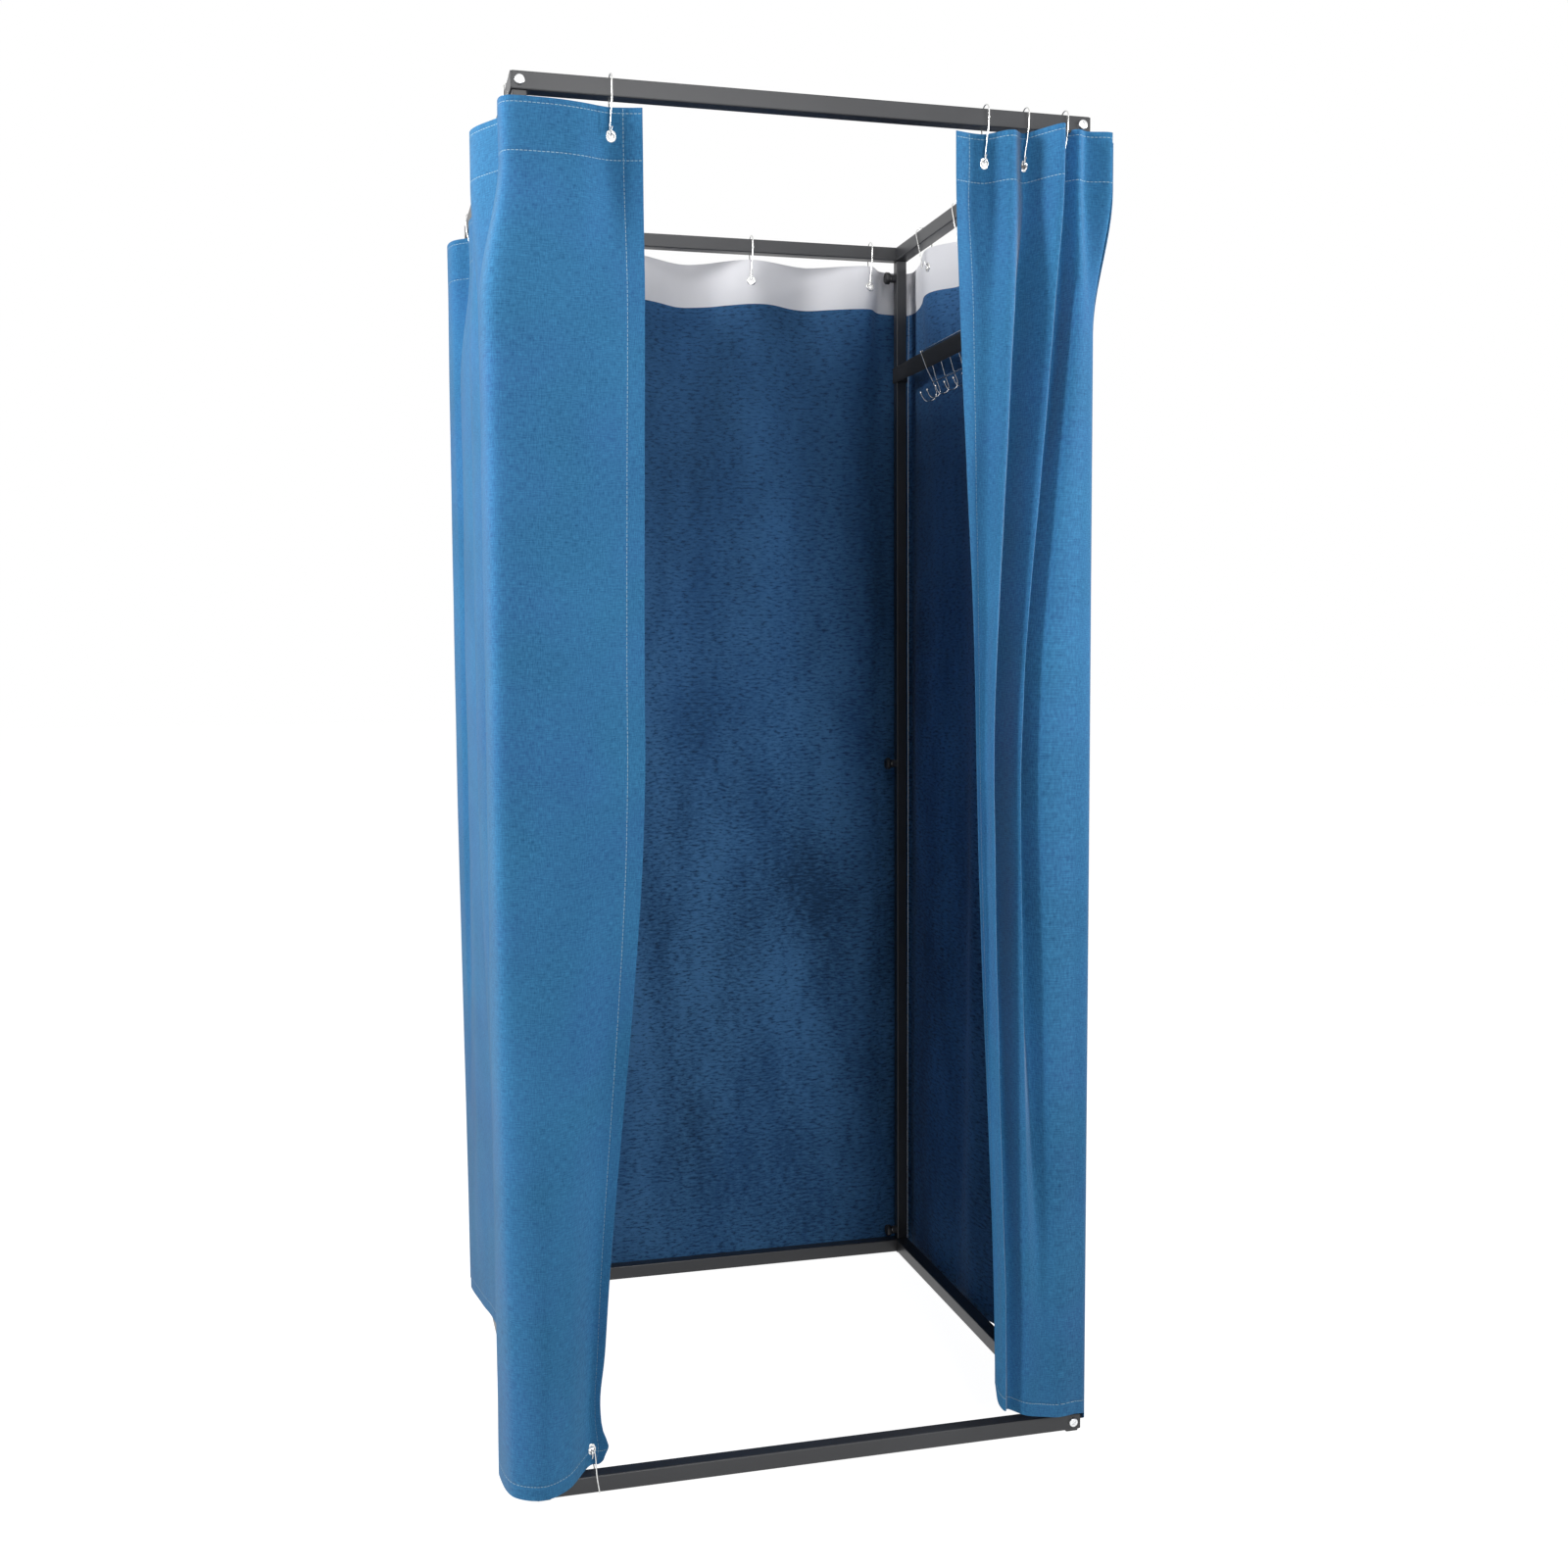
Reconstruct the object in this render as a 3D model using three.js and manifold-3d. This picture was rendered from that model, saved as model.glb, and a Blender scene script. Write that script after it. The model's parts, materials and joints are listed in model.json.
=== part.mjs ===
// Portable fitting room: a square frame of black tube that stands on plug feet, with curtains hung
// outside it on wire hooks, a doorway at the front between two drawn curtains, and a wire rack of
// clothes hooks on a strap across the right-hand side. Millimetres, +Z up. The origin is on the
// floor under the middle of the frame, +X runs to the right and +Y to the back.

import * as THREE from 'three';
import { mergeVertices } from 'three/addons/utils/BufferGeometryUtils.js';
import Module from 'manifold-3d';

const wasm = await Module();
wasm.setup();

// Overall frame
const frameWidth = 850;
const frameDepth = 850;
const frameHeight = 2000;

// Clearances shared by every fit
const seatGap = 0.3;
const cutOverrun = 2;

// Rails, their plug caps and the plug feet
const railSize = 25;
const railWall = 1.2;
const railCornerRadius = 1.8;
const capThickness = 2.5;
const capInset = 0.4;
const capPlugLength = 8;
const footSize = 20;
const footHeight = 3;
const footInset = 3;

// Posts, each a lower and an upper tube joined on a sleeve
const postSize = 20;
const postWall = 1.2;
const postCornerRadius = 1.5;
const lowerPostLength = 946;
const stubLength = 50;
const sleeveSeatLength = 24;
const sleeveReach = 50;

// Bolts through the front and back rails into the inserts of the side rails
const boltRadius = 3;
const boltHeadRadius = 7;
const boltHeadHeight = 4;
const boltCrownShare = 0.85;
const boltGrip = 14;
const boltRecessWidth = 1.4;
const boltRecessLength = 7;
const boltRecessDepth = 1.6;
const insertLength = 18;

// Clamp knobs
const collarRadius = 8;
const collarLength = 9;
const knobRadius = 11.5;
const knobThickness = 9;
const knobBevel = 1;
const knobLobeDepth = 0.9;
const knobLobes = 6;
const knobGap = 3;
const knobShankRadius = 3;
const bottomKnobRise = 17;
const middleKnobRise = 23;
const topKnobDrop = 32;

// Wire curtain hooks and eyelets
const hookWireRadius = 1;
const hookDrop = 75;
const tieHookDrop = 61;
const tieHookLean = 0.15;
const hookBendRadius = 3;
const hookArchDrop = 6;
const hookThroatHalf = 5;
const hookCurlLength = 8;
const hookCurlOffset = 3;
const eyeletRadius = 8.5;
const eyeletHoleRadius = 4;
const eyeletThickness = 2.3;

// Curtains
const clothThickness = 1.5;
const clothTopGap = 11;
const hemClearance = 22;
const frontRightLift = 8;
const clothSeamGap = 0.35;
const leadHemRise = 15;
const foldSettleStart = 70;
const foldSettleEnd = 280;
const drawSettleStart = 50;
const drawSettleEnd = 970;
const footSettleEnd = 1100;
const foldReach = 60;
const cornerReach = 40;

// Strap and hook rack
const strapWidth = 30;
const strapThickness = 1.6;
const strapHeight = 1760;
const strapTail = 38;
const strapTailGap = 0.8;
const strapTilt = THREE.MathUtils.degToRad(22);
const strapTwistLength = 70;
const rackWireRadius = 1.25;
const rackRodRadius = 1.6;
const rackBallRadius = 2.6;
const rackBackEnd = 236;
const rackLength = 224;
const rackHookSpacing = 46;
const rackHookCount = 5;
const rackDrop = 60;
const rackStem = 16;
const rackHookRadius = 12;
const rackEndHookRadius = 15;
const rackTipRise = 9;

// How finely round forms are cut into flat sides
const cornerSides = 1;
const strapBendSides = 2;
const wireSides = 5;
const bendSides = 2;
const roundSides = 10;
const smallSides = 8;
const lobePointCount = 2;
const lineColumnCount = 3;

// Worked out from the sizes above
const railLineX = (frameWidth - railSize) / 2;
const railLineY = (frameDepth - railSize) / 2;
const bottomRailTop = footHeight + railSize;
const topRailTop = footHeight + frameHeight;
const topRailUnder = topRailTop - railSize;
const splitHeight = bottomRailTop + lowerPostLength;
const stubSize = postSize - 2 * (postWall + seatGap);
const boreRadius = knobShankRadius + seatGap;
const strapBendRadius = postCornerRadius + seatGap + strapThickness / 2;
const clothTop = topRailUnder - clothTopGap;
const clothFoot = footHeight + hemClearance;
const bottomRailClear = railSize / 2 + clothThickness / 2 + seatGap;
const clothLength = clothTop - clothFoot;
const tieHeight = footHeight + tieHookDrop * Math.cos(tieHookLean);
const postFaceOut = postSize / 2 + seatGap + clothThickness / 2;

// Finishes
const finishes = {
  blackSatin: { color: 0x17181a, roughness: 0.45, metalness: 0.4 },
  blackPlastic: { color: 0x101011, roughness: 0.6, metalness: 0 },
  brightSteel: { color: 0xcfd2d6, roughness: 0.25, metalness: 1 },
  blueCloth: { color: 0x2d6496, roughness: 0.95, metalness: 0 },
  blackWebbing: { color: 0x0e0e10, roughness: 0.95, metalness: 0 },
};

const model = new THREE.Group();

function addPart(name, geometry, finish, place = {}) {
  const mesh = new THREE.Mesh(geometry, new THREE.MeshStandardMaterial(finish));
  mesh.name = name;
  mesh.position.set(...(place.position ?? [0, 0, 0]));
  mesh.rotation.set(...(place.rotation ?? [0, 0, 0]));
  model.add(mesh);
}

// Solids: closed meshes that can be joined and cut
function toSolid(geometry) {
  const bare = geometry.clone();
  bare.deleteAttribute('normal');
  bare.deleteAttribute('uv');
  const merged = mergeVertices(bare);
  const corners = [];
  for (let i = 0; i < merged.index.count; i += 3) {
    const [a, b, c] = [0, 1, 2].map((k) => merged.index.getX(i + k));
    if (a !== b && b !== c && c !== a) corners.push(a, b, c);
  }
  const vertProperties = new Float32Array(merged.attributes.position.array);
  const triVerts = new Uint32Array(corners);
  return new wasm.Manifold(new wasm.Mesh({ numProp: 3, vertProperties, triVerts }));
}

function toGeometry(solid) {
  const { vertProperties, triVerts } = solid.getMesh();
  const geometry = new THREE.BufferGeometry();
  geometry.setAttribute('position', new THREE.BufferAttribute(vertProperties, 3));
  geometry.setIndex(new THREE.BufferAttribute(triVerts, 1));
  return geometry;
}

function joined(solids) {
  return solids.reduce((sum, solid) => sum.add(solid));
}

// A square outline with rounded corners, centred on the origin
function roundedSquare(size, radius) {
  const half = size / 2;
  const inner = half - radius;
  const shape = new THREE.Shape();
  shape.moveTo(half, -inner);
  shape.absarc(inner, inner, radius, 0, Math.PI / 2);
  shape.absarc(-inner, inner, radius, Math.PI / 2, Math.PI);
  shape.absarc(-inner, -inner, radius, Math.PI, 1.5 * Math.PI);
  shape.absarc(inner, -inner, radius, 1.5 * Math.PI, 2 * Math.PI);
  return shape;
}

function extruded(shape, length) {
  return new THREE.ExtrudeGeometry(shape, { depth: length, bevelEnabled: false, curveSegments: cornerSides });
}

// A square tube that runs from z = 0 to its length
function squareTube(size, wall, radius, length) {
  const shape = roundedSquare(size, radius);
  shape.holes.push(roundedSquare(size - 2 * wall, Math.max(radius - wall, 0)));
  return toSolid(extruded(shape, length));
}

function squareBar(size, radius, length) {
  return toSolid(extruded(roundedSquare(size, radius), length));
}

// A round bar centred on the origin, along Z
function roundBar(radius, length, sides = roundSides) {
  return toSolid(new THREE.CylinderGeometry(radius, radius, length, sides).rotateX(Math.PI / 2));
}

// Turns a bar that runs up Z so that it runs along X or Y
const alongX = [0, 90, 0];
const alongY = [-90, 0, 0];

// A front or back rail, centred on its own middle: tube, plug caps, post stubs, bolt holes and feet
function crossRail(stubSide) {
  const tubeLength = frameWidth - 2 * capThickness;
  let rail = squareTube(railSize, railWall, railCornerRadius, tubeLength)
    .translate([0, 0, -tubeLength / 2])
    .rotate(alongX);
  for (const end of [-1, 1]) {
    const cap = squareBar(railSize - 2 * capInset, railCornerRadius, capThickness);
    const plug = squareBar(railSize - railWall, railCornerRadius, capPlugLength);
    const capSolid = joined([cap, plug.translate([0, 0, -capPlugLength + capThickness / 2])])
      .rotate([0, end * 90, 0])
      .translate([end * tubeLength / 2, 0, 0]);
    const stub = squareTube(stubSize, postWall, 0, stubLength + railWall / 2)
      .translate([0, 0, railSize / 2 - railWall / 2])
      .rotate([stubSide > 0 ? 0 : 180, 0, 0])
      .translate([end * railLineX, 0, 0]);
    rail = joined([rail, capSolid, stub]);
  }
  if (stubSide > 0) rail = joined([rail, ...feet()]);
  for (const end of [-1, 1]) {
    const hole = roundBar(boltRadius + seatGap, railSize + cutOverrun, smallSides).rotate(alongY);
    rail = rail.subtract(hole.translate([end * railLineX, 0, 0]));
  }
  return toGeometry(rail);
}

function feet() {
  const reach = frameWidth / 2 - footInset - footSize / 2;
  return [-1, 1].map((end) =>
    squareBar(footSize, railCornerRadius, footHeight + railWall / 2)
      .translate([end * reach, 0, -railSize / 2 - footHeight]));
}

// A side rail, centred on its own middle, with a bored insert in each end
function sideRail() {
  const length = frameDepth - 2 * (railSize + seatGap);
  const tube = squareTube(railSize, railWall, railCornerRadius, length).translate([0, 0, -length / 2]);
  const inserts = [-1, 1].map((end) => {
    const centre = end * (length - insertLength) / 2;
    return squareBar(railSize - railWall, railCornerRadius, insertLength)
      .translate([0, 0, centre - insertLength / 2]);
  });
  const bore = roundBar(boltRadius + seatGap, length + cutOverrun, smallSides);
  return toGeometry(joined([tube, ...inserts]).subtract(bore).rotate(alongY));
}

function addRails() {
  const levels = { bottom: footHeight + railSize / 2, top: topRailTop - railSize / 2 };
  for (const [level, z] of Object.entries(levels)) {
    const cross = crossRail(level === 'bottom' ? 1 : -1);
    const side = sideRail();
    addPart(`front_${level}_rail`, cross, finishes.blackSatin, { position: [0, -railLineY, z] });
    addPart(`back_${level}_rail`, cross, finishes.blackSatin, { position: [0, railLineY, z] });
    addPart(`left_${level}_rail`, side, finishes.blackSatin, { position: [-railLineX, 0, z] });
    addPart(`right_${level}_rail`, side, finishes.blackSatin, { position: [railLineX, 0, z] });
    addBolts(level, z);
  }
}

// A pan head with a cross recess, and its shank. Local +Z points out of the rail's face
function boltSolid() {
  const profile = new THREE.Path();
  profile.moveTo(0, seatGap);
  profile.lineTo(boltHeadRadius, seatGap);
  profile.lineTo(boltHeadRadius, seatGap + boltHeadHeight / 3);
  profile.quadraticCurveTo(boltHeadRadius * boltCrownShare, boltHeadHeight, 0, seatGap + boltHeadHeight);
  const head = toSolid(new THREE.LatheGeometry(profile.getPoints(3), smallSides).rotateX(Math.PI / 2));
  const shankLength = railSize + boltGrip + boltHeadHeight / 2;
  const shank = roundBar(boltRadius, shankLength, smallSides).translate([0, 0, boltHeadHeight / 2 - shankLength / 2]);
  const slot = new THREE.BoxGeometry(boltRecessLength, boltRecessWidth, 2 * boltRecessDepth);
  const top = [0, 0, seatGap + boltHeadHeight];
  const cross = joined([toSolid(slot), toSolid(slot).rotate([0, 0, 90])]).translate(top);
  return toGeometry(joined([head, shank]).subtract(cross));
}

function addBolts(level, z) {
  const bolt = boltSolid();
  for (const [face, turn] of [[-1, Math.PI / 2], [1, -Math.PI / 2]]) {
    for (const [side, x] of [['left', -railLineX], ['right', railLineX]]) {
      addPart(`${face < 0 ? 'front' : 'back'}_${level}_${side}_bolt`, bolt, finishes.brightSteel, {
        position: [x, face * frameDepth / 2, z],
        rotation: [turn, 0, 0],
      });
    }
  }
}

// A post tube with a threaded collar at each clamp height, on its +X side
function postTube(length, clampHeights) {
  let post = squareTube(postSize, postWall, postCornerRadius, length);
  for (const height of clampHeights) {
    const start = (postSize - postWall) / 2;
    const end = postSize / 2 + collarLength;
    const collar = roundBar(collarRadius, end - start).rotate(alongX);
    const bore = roundBar(boreRadius, end - start + cutOverrun, smallSides).rotate(alongX);
    post = post.add(collar.translate([(start + end) / 2, 0, height]));
    post = post.subtract(bore.translate([(start + end) / 2, 0, height]));
  }
  return post;
}

// The sleeve that the lower post carries into the upper one
function postSleeve() {
  const seat = squareTube(postSize - postWall, (postSize - postWall - stubSize) / 2 + postWall, 0,
    sleeveSeatLength);
  const reach = squareTube(stubSize, postWall, 0, sleeveSeatLength + sleeveReach);
  return joined([seat, reach]).translate([0, 0, lowerPostLength - seatGap - sleeveSeatLength]);
}

// Each post's name, its corner, and the way that its clamps face
const posts = [
  { name: 'front_left', corner: [-1, -1], turn: Math.PI / 2 },
  { name: 'front_right', corner: [1, -1], turn: Math.PI / 2 },
  { name: 'back_left', corner: [-1, 1], turn: 0 },
  { name: 'back_right', corner: [1, 1], turn: Math.PI },
];

function addPosts() {
  const upperLength = topRailUnder - splitHeight - 2 * seatGap;
  const lower = toGeometry(postTube(lowerPostLength - seatGap, [bottomKnobRise - seatGap]).add(postSleeve()));
  const upper = toGeometry(postTube(upperLength, [middleKnobRise - seatGap, upperLength + seatGap - topKnobDrop]));
  const knob = clampKnob();
  for (const { name, corner, turn } of posts) {
    const x = corner[0] * railLineX;
    const y = corner[1] * railLineY;
    const rotation = [0, 0, turn];
    addPart(`${name}_lower_post`, lower, finishes.blackSatin, {
      position: [x, y, bottomRailTop + seatGap], rotation });
    addPart(`${name}_upper_post`, upper, finishes.blackSatin, {
      position: [x, y, splitHeight + seatGap], rotation });
    const heights = {
      bottom: bottomRailTop + bottomKnobRise,
      middle: splitHeight + middleKnobRise,
      top: topRailUnder - topKnobDrop,
    };
    for (const [level, z] of Object.entries(heights)) {
      addPart(`${name}_${level}_knob`, knob, finishes.blackPlastic, { position: [x, y, z], rotation });
    }
  }
}

// A lobed clamp knob with its screw, along +X from the middle of the post
function clampKnob() {
  const outline = new THREE.Shape();
  const points = [];
  const count = knobLobes * lobePointCount;
  for (let i = 0; i < count; i++) {
    const angle = 2 * Math.PI * i / count;
    const radius = knobRadius - knobBevel - knobLobeDepth * (1 - Math.cos(knobLobes * angle)) / 2;
    points.push(new THREE.Vector2(radius * Math.cos(angle), radius * Math.sin(angle)));
  }
  outline.setFromPoints(points);
  const head = new THREE.ExtrudeGeometry(outline, {
    depth: knobThickness - 2 * knobBevel,
    bevelSize: knobBevel,
    bevelThickness: knobBevel,
    bevelSegments: 1,
  });
  const headStart = postSize / 2 + collarLength + knobGap;
  const shankStart = postSize / 2 - postWall;
  const shankEnd = headStart + knobThickness / 2;
  const shank = roundBar(knobShankRadius, shankEnd - shankStart, smallSides)
    .translate([0, 0, (shankStart + shankEnd) / 2]);
  const knob = joined([toSolid(head).translate([0, 0, headStart + knobBevel]), shank]);
  return toGeometry(knob.rotate(alongX));
}

// A curve that is cut at its own points, so that a bend keeps the points given for it
class BentLine extends THREE.CatmullRomCurve3 {
  getUtoTmapping(share) {
    return share;
  }
}

// Wire bent along a line through its points
function wire(points, radius) {
  const section = new THREE.Shape();
  const ring = [];
  for (let i = 0; i < wireSides; i++) {
    const angle = 2 * Math.PI * i / wireSides;
    ring.push(new THREE.Vector2(radius * Math.cos(angle), radius * Math.sin(angle)));
  }
  section.setFromPoints(ring);
  const path = new BentLine(points, false, 'centripetal');
  return new THREE.ExtrudeGeometry(section, {
    steps: points.length - 1,
    extrudePath: path,
    bevelEnabled: false,
  });
}

// Points of an arc in the XZ plane, from one angle to another in quarter turns
function bend(centreX, centreZ, radius, fromQuarter, toQuarter) {
  const count = Math.ceil(Math.abs(toQuarter - fromQuarter) * bendSides);
  return Array.from({ length: count + 1 }, (_, i) => {
    const angle = (fromQuarter + (toQuarter - fromQuarter) * i / count) * Math.PI / 2;
    return new THREE.Vector3(centreX + radius * Math.cos(angle), 0, centreZ + radius * Math.sin(angle));
  });
}

// The way of a hook's wire across the rail whose seat is on z = 0: an arch that rests on the rail's
// two edges, or a flat bridge with a small bend at each edge
function archOver() {
  const radius = Math.hypot(railSize / 2, hookArchDrop) + seatGap + hookWireRadius;
  return bend(0, -hookArchDrop, radius, 7 / 4, 1 / 4);
}

function bridgeOver() {
  const bendX = railSize / 2 + seatGap + hookWireRadius - hookBendRadius;
  const bendZ = seatGap + hookWireRadius - hookBendRadius;
  return [...bend(-bendX, bendZ, hookBendRadius, 2, 1), ...bend(bendX, bendZ, hookBendRadius, 1, 0)];
}

// A pear-shaped hook round a rail. Its latch is on the +X side
function curtainHook(drop, over) {
  const side = railSize / 2 + seatGap + hookWireRadius;
  const low = -drop + eyeletHoleRadius * Math.cos(Math.PI / smallSides) - hookWireRadius - 2 * seatGap;
  const throat = low + hookThroatHalf;
  const at = (x, z, y = 0) => new THREE.Vector3(x, y, z);
  return wire([
    at(hookThroatHalf, throat + hookThroatHalf, hookCurlOffset / 2),
    ...bend(0, throat, hookThroatHalf, 4, 2),
    at(-(side + hookThroatHalf) / 2, (throat - railSize) / 2),
    at(-side, -railSize),
    ...over,
    at(side, -railSize),
    at((side + 2 * hookThroatHalf) / 2, (throat - railSize) / 2, -hookCurlOffset / 2),
    at(2 * hookThroatHalf, throat, -hookCurlOffset),
    at(2 * hookThroatHalf + hookWireRadius, throat - hookCurlLength, -hookCurlOffset),
  ], hookWireRadius);
}

// Where the hooks stand along each rail as shares of half its length, how far each leans along it in
// radians, and the way that its latch faces
const hookRows = {
  front_left: { side: 'front', names: ['lead'], placeShares: [-0.696], leans: [0] },
  front_right: {
    side: 'front',
    names: ['lead', 'second', 'third'],
    placeShares: [0.641, 0.793, 0.943],
    leans: [-0.02, -0.035, -0.04],
  },
  back: {
    side: 'back',
    names: ['1', '2', '3', '4'],
    placeShares: [-0.88, -0.303, 0.274, 0.851],
    leans: [0, 0, 0, 0],
  },
  left: {
    side: 'left',
    names: ['1', '2', '3', '4'],
    placeShares: [-0.865, -0.288, 0.288, 0.865],
    leans: [0, 0, 0, 0],
  },
  right: {
    side: 'right',
    names: ['1', '2', '3', '4'],
    placeShares: [-0.72, -0.257, 0.206, 0.669],
    leans: [-0.2, -0.2, -0.27, -0.36],
  },
};
const latchTurns = { front: -Math.PI / 2, back: -Math.PI / 2, left: 0, right: Math.PI };

function hookPlace(row, index) {
  const alongRailX = row.side === 'front' || row.side === 'back';
  return row.placeShares[index] * (alongRailX ? railLineX : railLineY);
}

// A point beside a rail: its place along the rail, and how far it stands out of the rail's middle line
function besideRail(side, along, out) {
  if (side === 'front') return [along, -railLineY - out];
  if (side === 'back') return [along, railLineY + out];
  return side === 'left' ? [-railLineX - out, along] : [railLineX + out, along];
}

// Where a hook's eyelet hangs: its place along the rail and its height
function eyeletOf(row, index) {
  const lean = row.leans[index];
  return {
    along: hookPlace(row, index) + hookDrop * Math.sin(lean),
    height: topRailTop - hookDrop * Math.cos(lean),
  };
}

function addHooks() {
  const hook = curtainHook(hookDrop, archOver());
  for (const [rowName, row] of Object.entries(hookRows)) {
    row.names.forEach((name, index) => {
      const [x, y] = besideRail(row.side, hookPlace(row, index), 0);
      const lean = row.side === 'right' ? -row.leans[index] : row.leans[index];
      addPart(`${rowName}_${name}_hook`, hook, finishes.brightSteel, {
        position: [x, y, topRailTop],
        rotation: [lean, 0, latchTurns[row.side], 'ZYX'],
      });
    });
  }
  const tie = eyeletAt(1, tieHeight).centre;
  addPart('bottom_tie_hook', curtainHook(tieHookDrop, bridgeOver()), finishes.brightSteel, {
    position: [tie.x + tieHookDrop * Math.sin(tieHookLean), tie.y, footHeight],
    rotation: [Math.PI + tieHookLean, 0, -Math.PI / 2, 'ZYX'],
  });
}

// The curtains hang round the frame as one wrap: from the front left lead edge round the left, back
// and right sides to the front right lead edge. Each station is one upright line of the cloth, given
// at its top, at its middle and at its foot as [place along the rail, reach out of the rail line].
// The drawn curtains' lines are shares of railLineX along the front, at the top, middle and foot.
const leftLeadShares = [-0.596, -0.615, -0.79];
const leftHookShares = [-0.696, -0.72, -0.827];
const leftPleatShares = [0.33, 0.66];
const rightLeadShare = 0.514;
const rightMiddleShares = [0.97, 0.835, 0.771, 0.748, 0.7, 0.64, 0.62, 0.5915];
const rightFootShares = [0.982, 0.91, 0.845, 0.785, 0.73, 0.7, 0.686, 0.676];
const rightCrestShares = [0.62, 0.66, 0.5];

// How far the cloth's corners stand out of the rail lines across X and across Y, as shares of
// foldReach, at the top, middle and foot
const cornerOutShares = {
  front_left: [[0.4, 0.42], [0.83, 0.66], [0.73, 0.63]],
  back_left: [[0.62, 0.62], [0.65, 0.62], [0.57, 0.55]],
  back_right: [[0.47, 0.5], [0.45, 0.5], [0.4, 0.44]],
  front_right: [[0.7, 0.43], [0.26, 0.32], [0.25, 0.32]],
};

// How far each side's lines of cloth stand out, as shares of foldReach: hook, crest, hook, crest...
// and the two lines next to the corners, at the top, middle and foot
const sideOutShares = {
  left: [
    [0.4, 0, 0.88, 0, 0.5, 0, 0.32, 0, 0.6],
    [0.95, 0.7, 0.72, 0.4, 0.66, 0.38, 0.66, 0.42, 0.66],
    [0.97, 0.95, 0.65, 0.36, 0.33, 0.26, 0.5, 0.72, 0.62],
  ],
  back: [
    [0.6, 0, 0.55, 0, 0.97, 0, 0.5, 0, 0.48],
    [0.6, 0.4, 0.62, 0.36, 0.66, 0.38, 0.6, 0.4, 0.5],
    [0.52, 0.4, 0.5, 0.36, 0.52, 0.34, 0.5, 0.38, 0.44],
  ],
  right: [
    [0.47, 0, 0.58, 0, 0.55, 0, 0.55, 0, 0.66],
    [0.45, 0.42, 0.66, 0.42, 1, 0.6, 0.7, 0.38, 0.27],
    [0.4, 0.36, 0.5, 0.36, 0.7, 0.34, 0.44, 0.32, 0.26],
  ],
  front_left: [
    [0.3, 0, 0.37, 0.5],
    [0.43, 0.53, 0.62, 0.72],
    [0.12, 0, 0.62, 0.97],
  ],
  front_right: [
    [0.2, 0.36, 0, 0.88, 0, 0.52, 0, 0.32],
    [0.5, 0.66, 0, 0.62, -0.5, 0.66, 0.4, 0.4],
    [0.5, 0.62, 0.6, 0.62, 0.3, 0.58, 0.4, 0.33],
  ],
};

// How far the hem is lifted, as shares of leadHemRise, on the curtains that aren't level
const hemRiseShares = {
  front_left: [1, 1, 0.1, 0],
  left: [0, 0, 0.3, 0.8, 1.2, 1.5, 1.2, 0.7, 0.5],
  front_right: [0.3, 0.45, 0.7, 1, 1.3, 1.7, 2.2, 2.8],
};

const levels = [0, 1, 2];

// How far a line of cloth stands out. Its foot hangs clear of the bottom rail, unless it is lifted
function reachOut(share, level, lifted = false) {
  const reach = share * foldReach;
  return level === 2 && !lifted ? Math.max(reach, bottomRailClear) : reach;
}

function station(side, alongs, outShares, rise = 0) {
  const lifted = side === 'front' && rise > 0;
  return levels.map((level) => {
    const [x, y] = besideRail(side, alongs[level], reachOut(outShares[level], level, lifted));
    return new THREE.Vector3(x, y, rise * leadHemRise);
  });
}

function cornerStation(name, signX, signY) {
  return cornerOutShares[name].map(([outX, outY], level) => new THREE.Vector3(
    signX * (railLineX + reachOut(outX, level)), signY * (railLineY + reachOut(outY, level)), 0));
}

// The lines of one full side, from its line next to one corner to the line next to the other
function sideStations(side, from, to) {
  const row = hookRows[side];
  const shares = sideOutShares[side];
  const line = side === 'back' ? railLineX : railLineY;
  const hooks = row.placeShares.map((_, index) => eyeletOf(row, index).along);
  if (from > to) hooks.reverse();
  const alongs = hooks.flatMap((place, i) => (i ? [(hooks[i - 1] + place) / 2, place] : [place]));
  alongs.unshift(Math.sign(from) * (line + postFaceOut - cornerReach));
  alongs.push(Math.sign(to) * (line + postFaceOut - cornerReach));
  return alongs.map((along, i) =>
    station(side, [along, along, along], shares.map((list) => list[i]), hemRiseShares[side]?.[i]));
}

function frontLeftStations() {
  const shares = sideOutShares.front_left;
  const lead = leftLeadShares.map((share) => share * railLineX);
  const hook = leftHookShares.map((share) => share * railLineX);
  const corner = levels.map((level) => -railLineX - cornerOutShares.front_left[level][0] * foldReach);
  const pleats = leftPleatShares.map((share) => levels.map((level) =>
    THREE.MathUtils.lerp(hook[level], corner[level], share)));
  return [lead, hook, ...pleats].map((places, i) =>
    station('front', places, shares.map((list) => list[i]), hemRiseShares.front_left[i]));
}

function frontRightStations() {
  const row = hookRows.front_right;
  const [first, second, third] = row.placeShares.map((_, index) => eyeletOf(row, index).along);
  const crests = [[third, railLineX], [second, third], [first, second]].map(([from, to], i) =>
    THREE.MathUtils.lerp(from, to, rightCrestShares[i]));
  const beside = railLineX + postSize / 4;
  const lead = rightLeadShare * railLineX;
  const tops = [beside, crests[0], third, crests[1], second, crests[2], first, lead];
  return tops.map((top, i) => station(
    'front',
    [top, rightMiddleShares[i] * railLineX, rightFootShares[i] * railLineX],
    sideOutShares.front_right.map((list) => list[i]),
    hemRiseShares.front_right[i],
  ));
}

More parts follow.
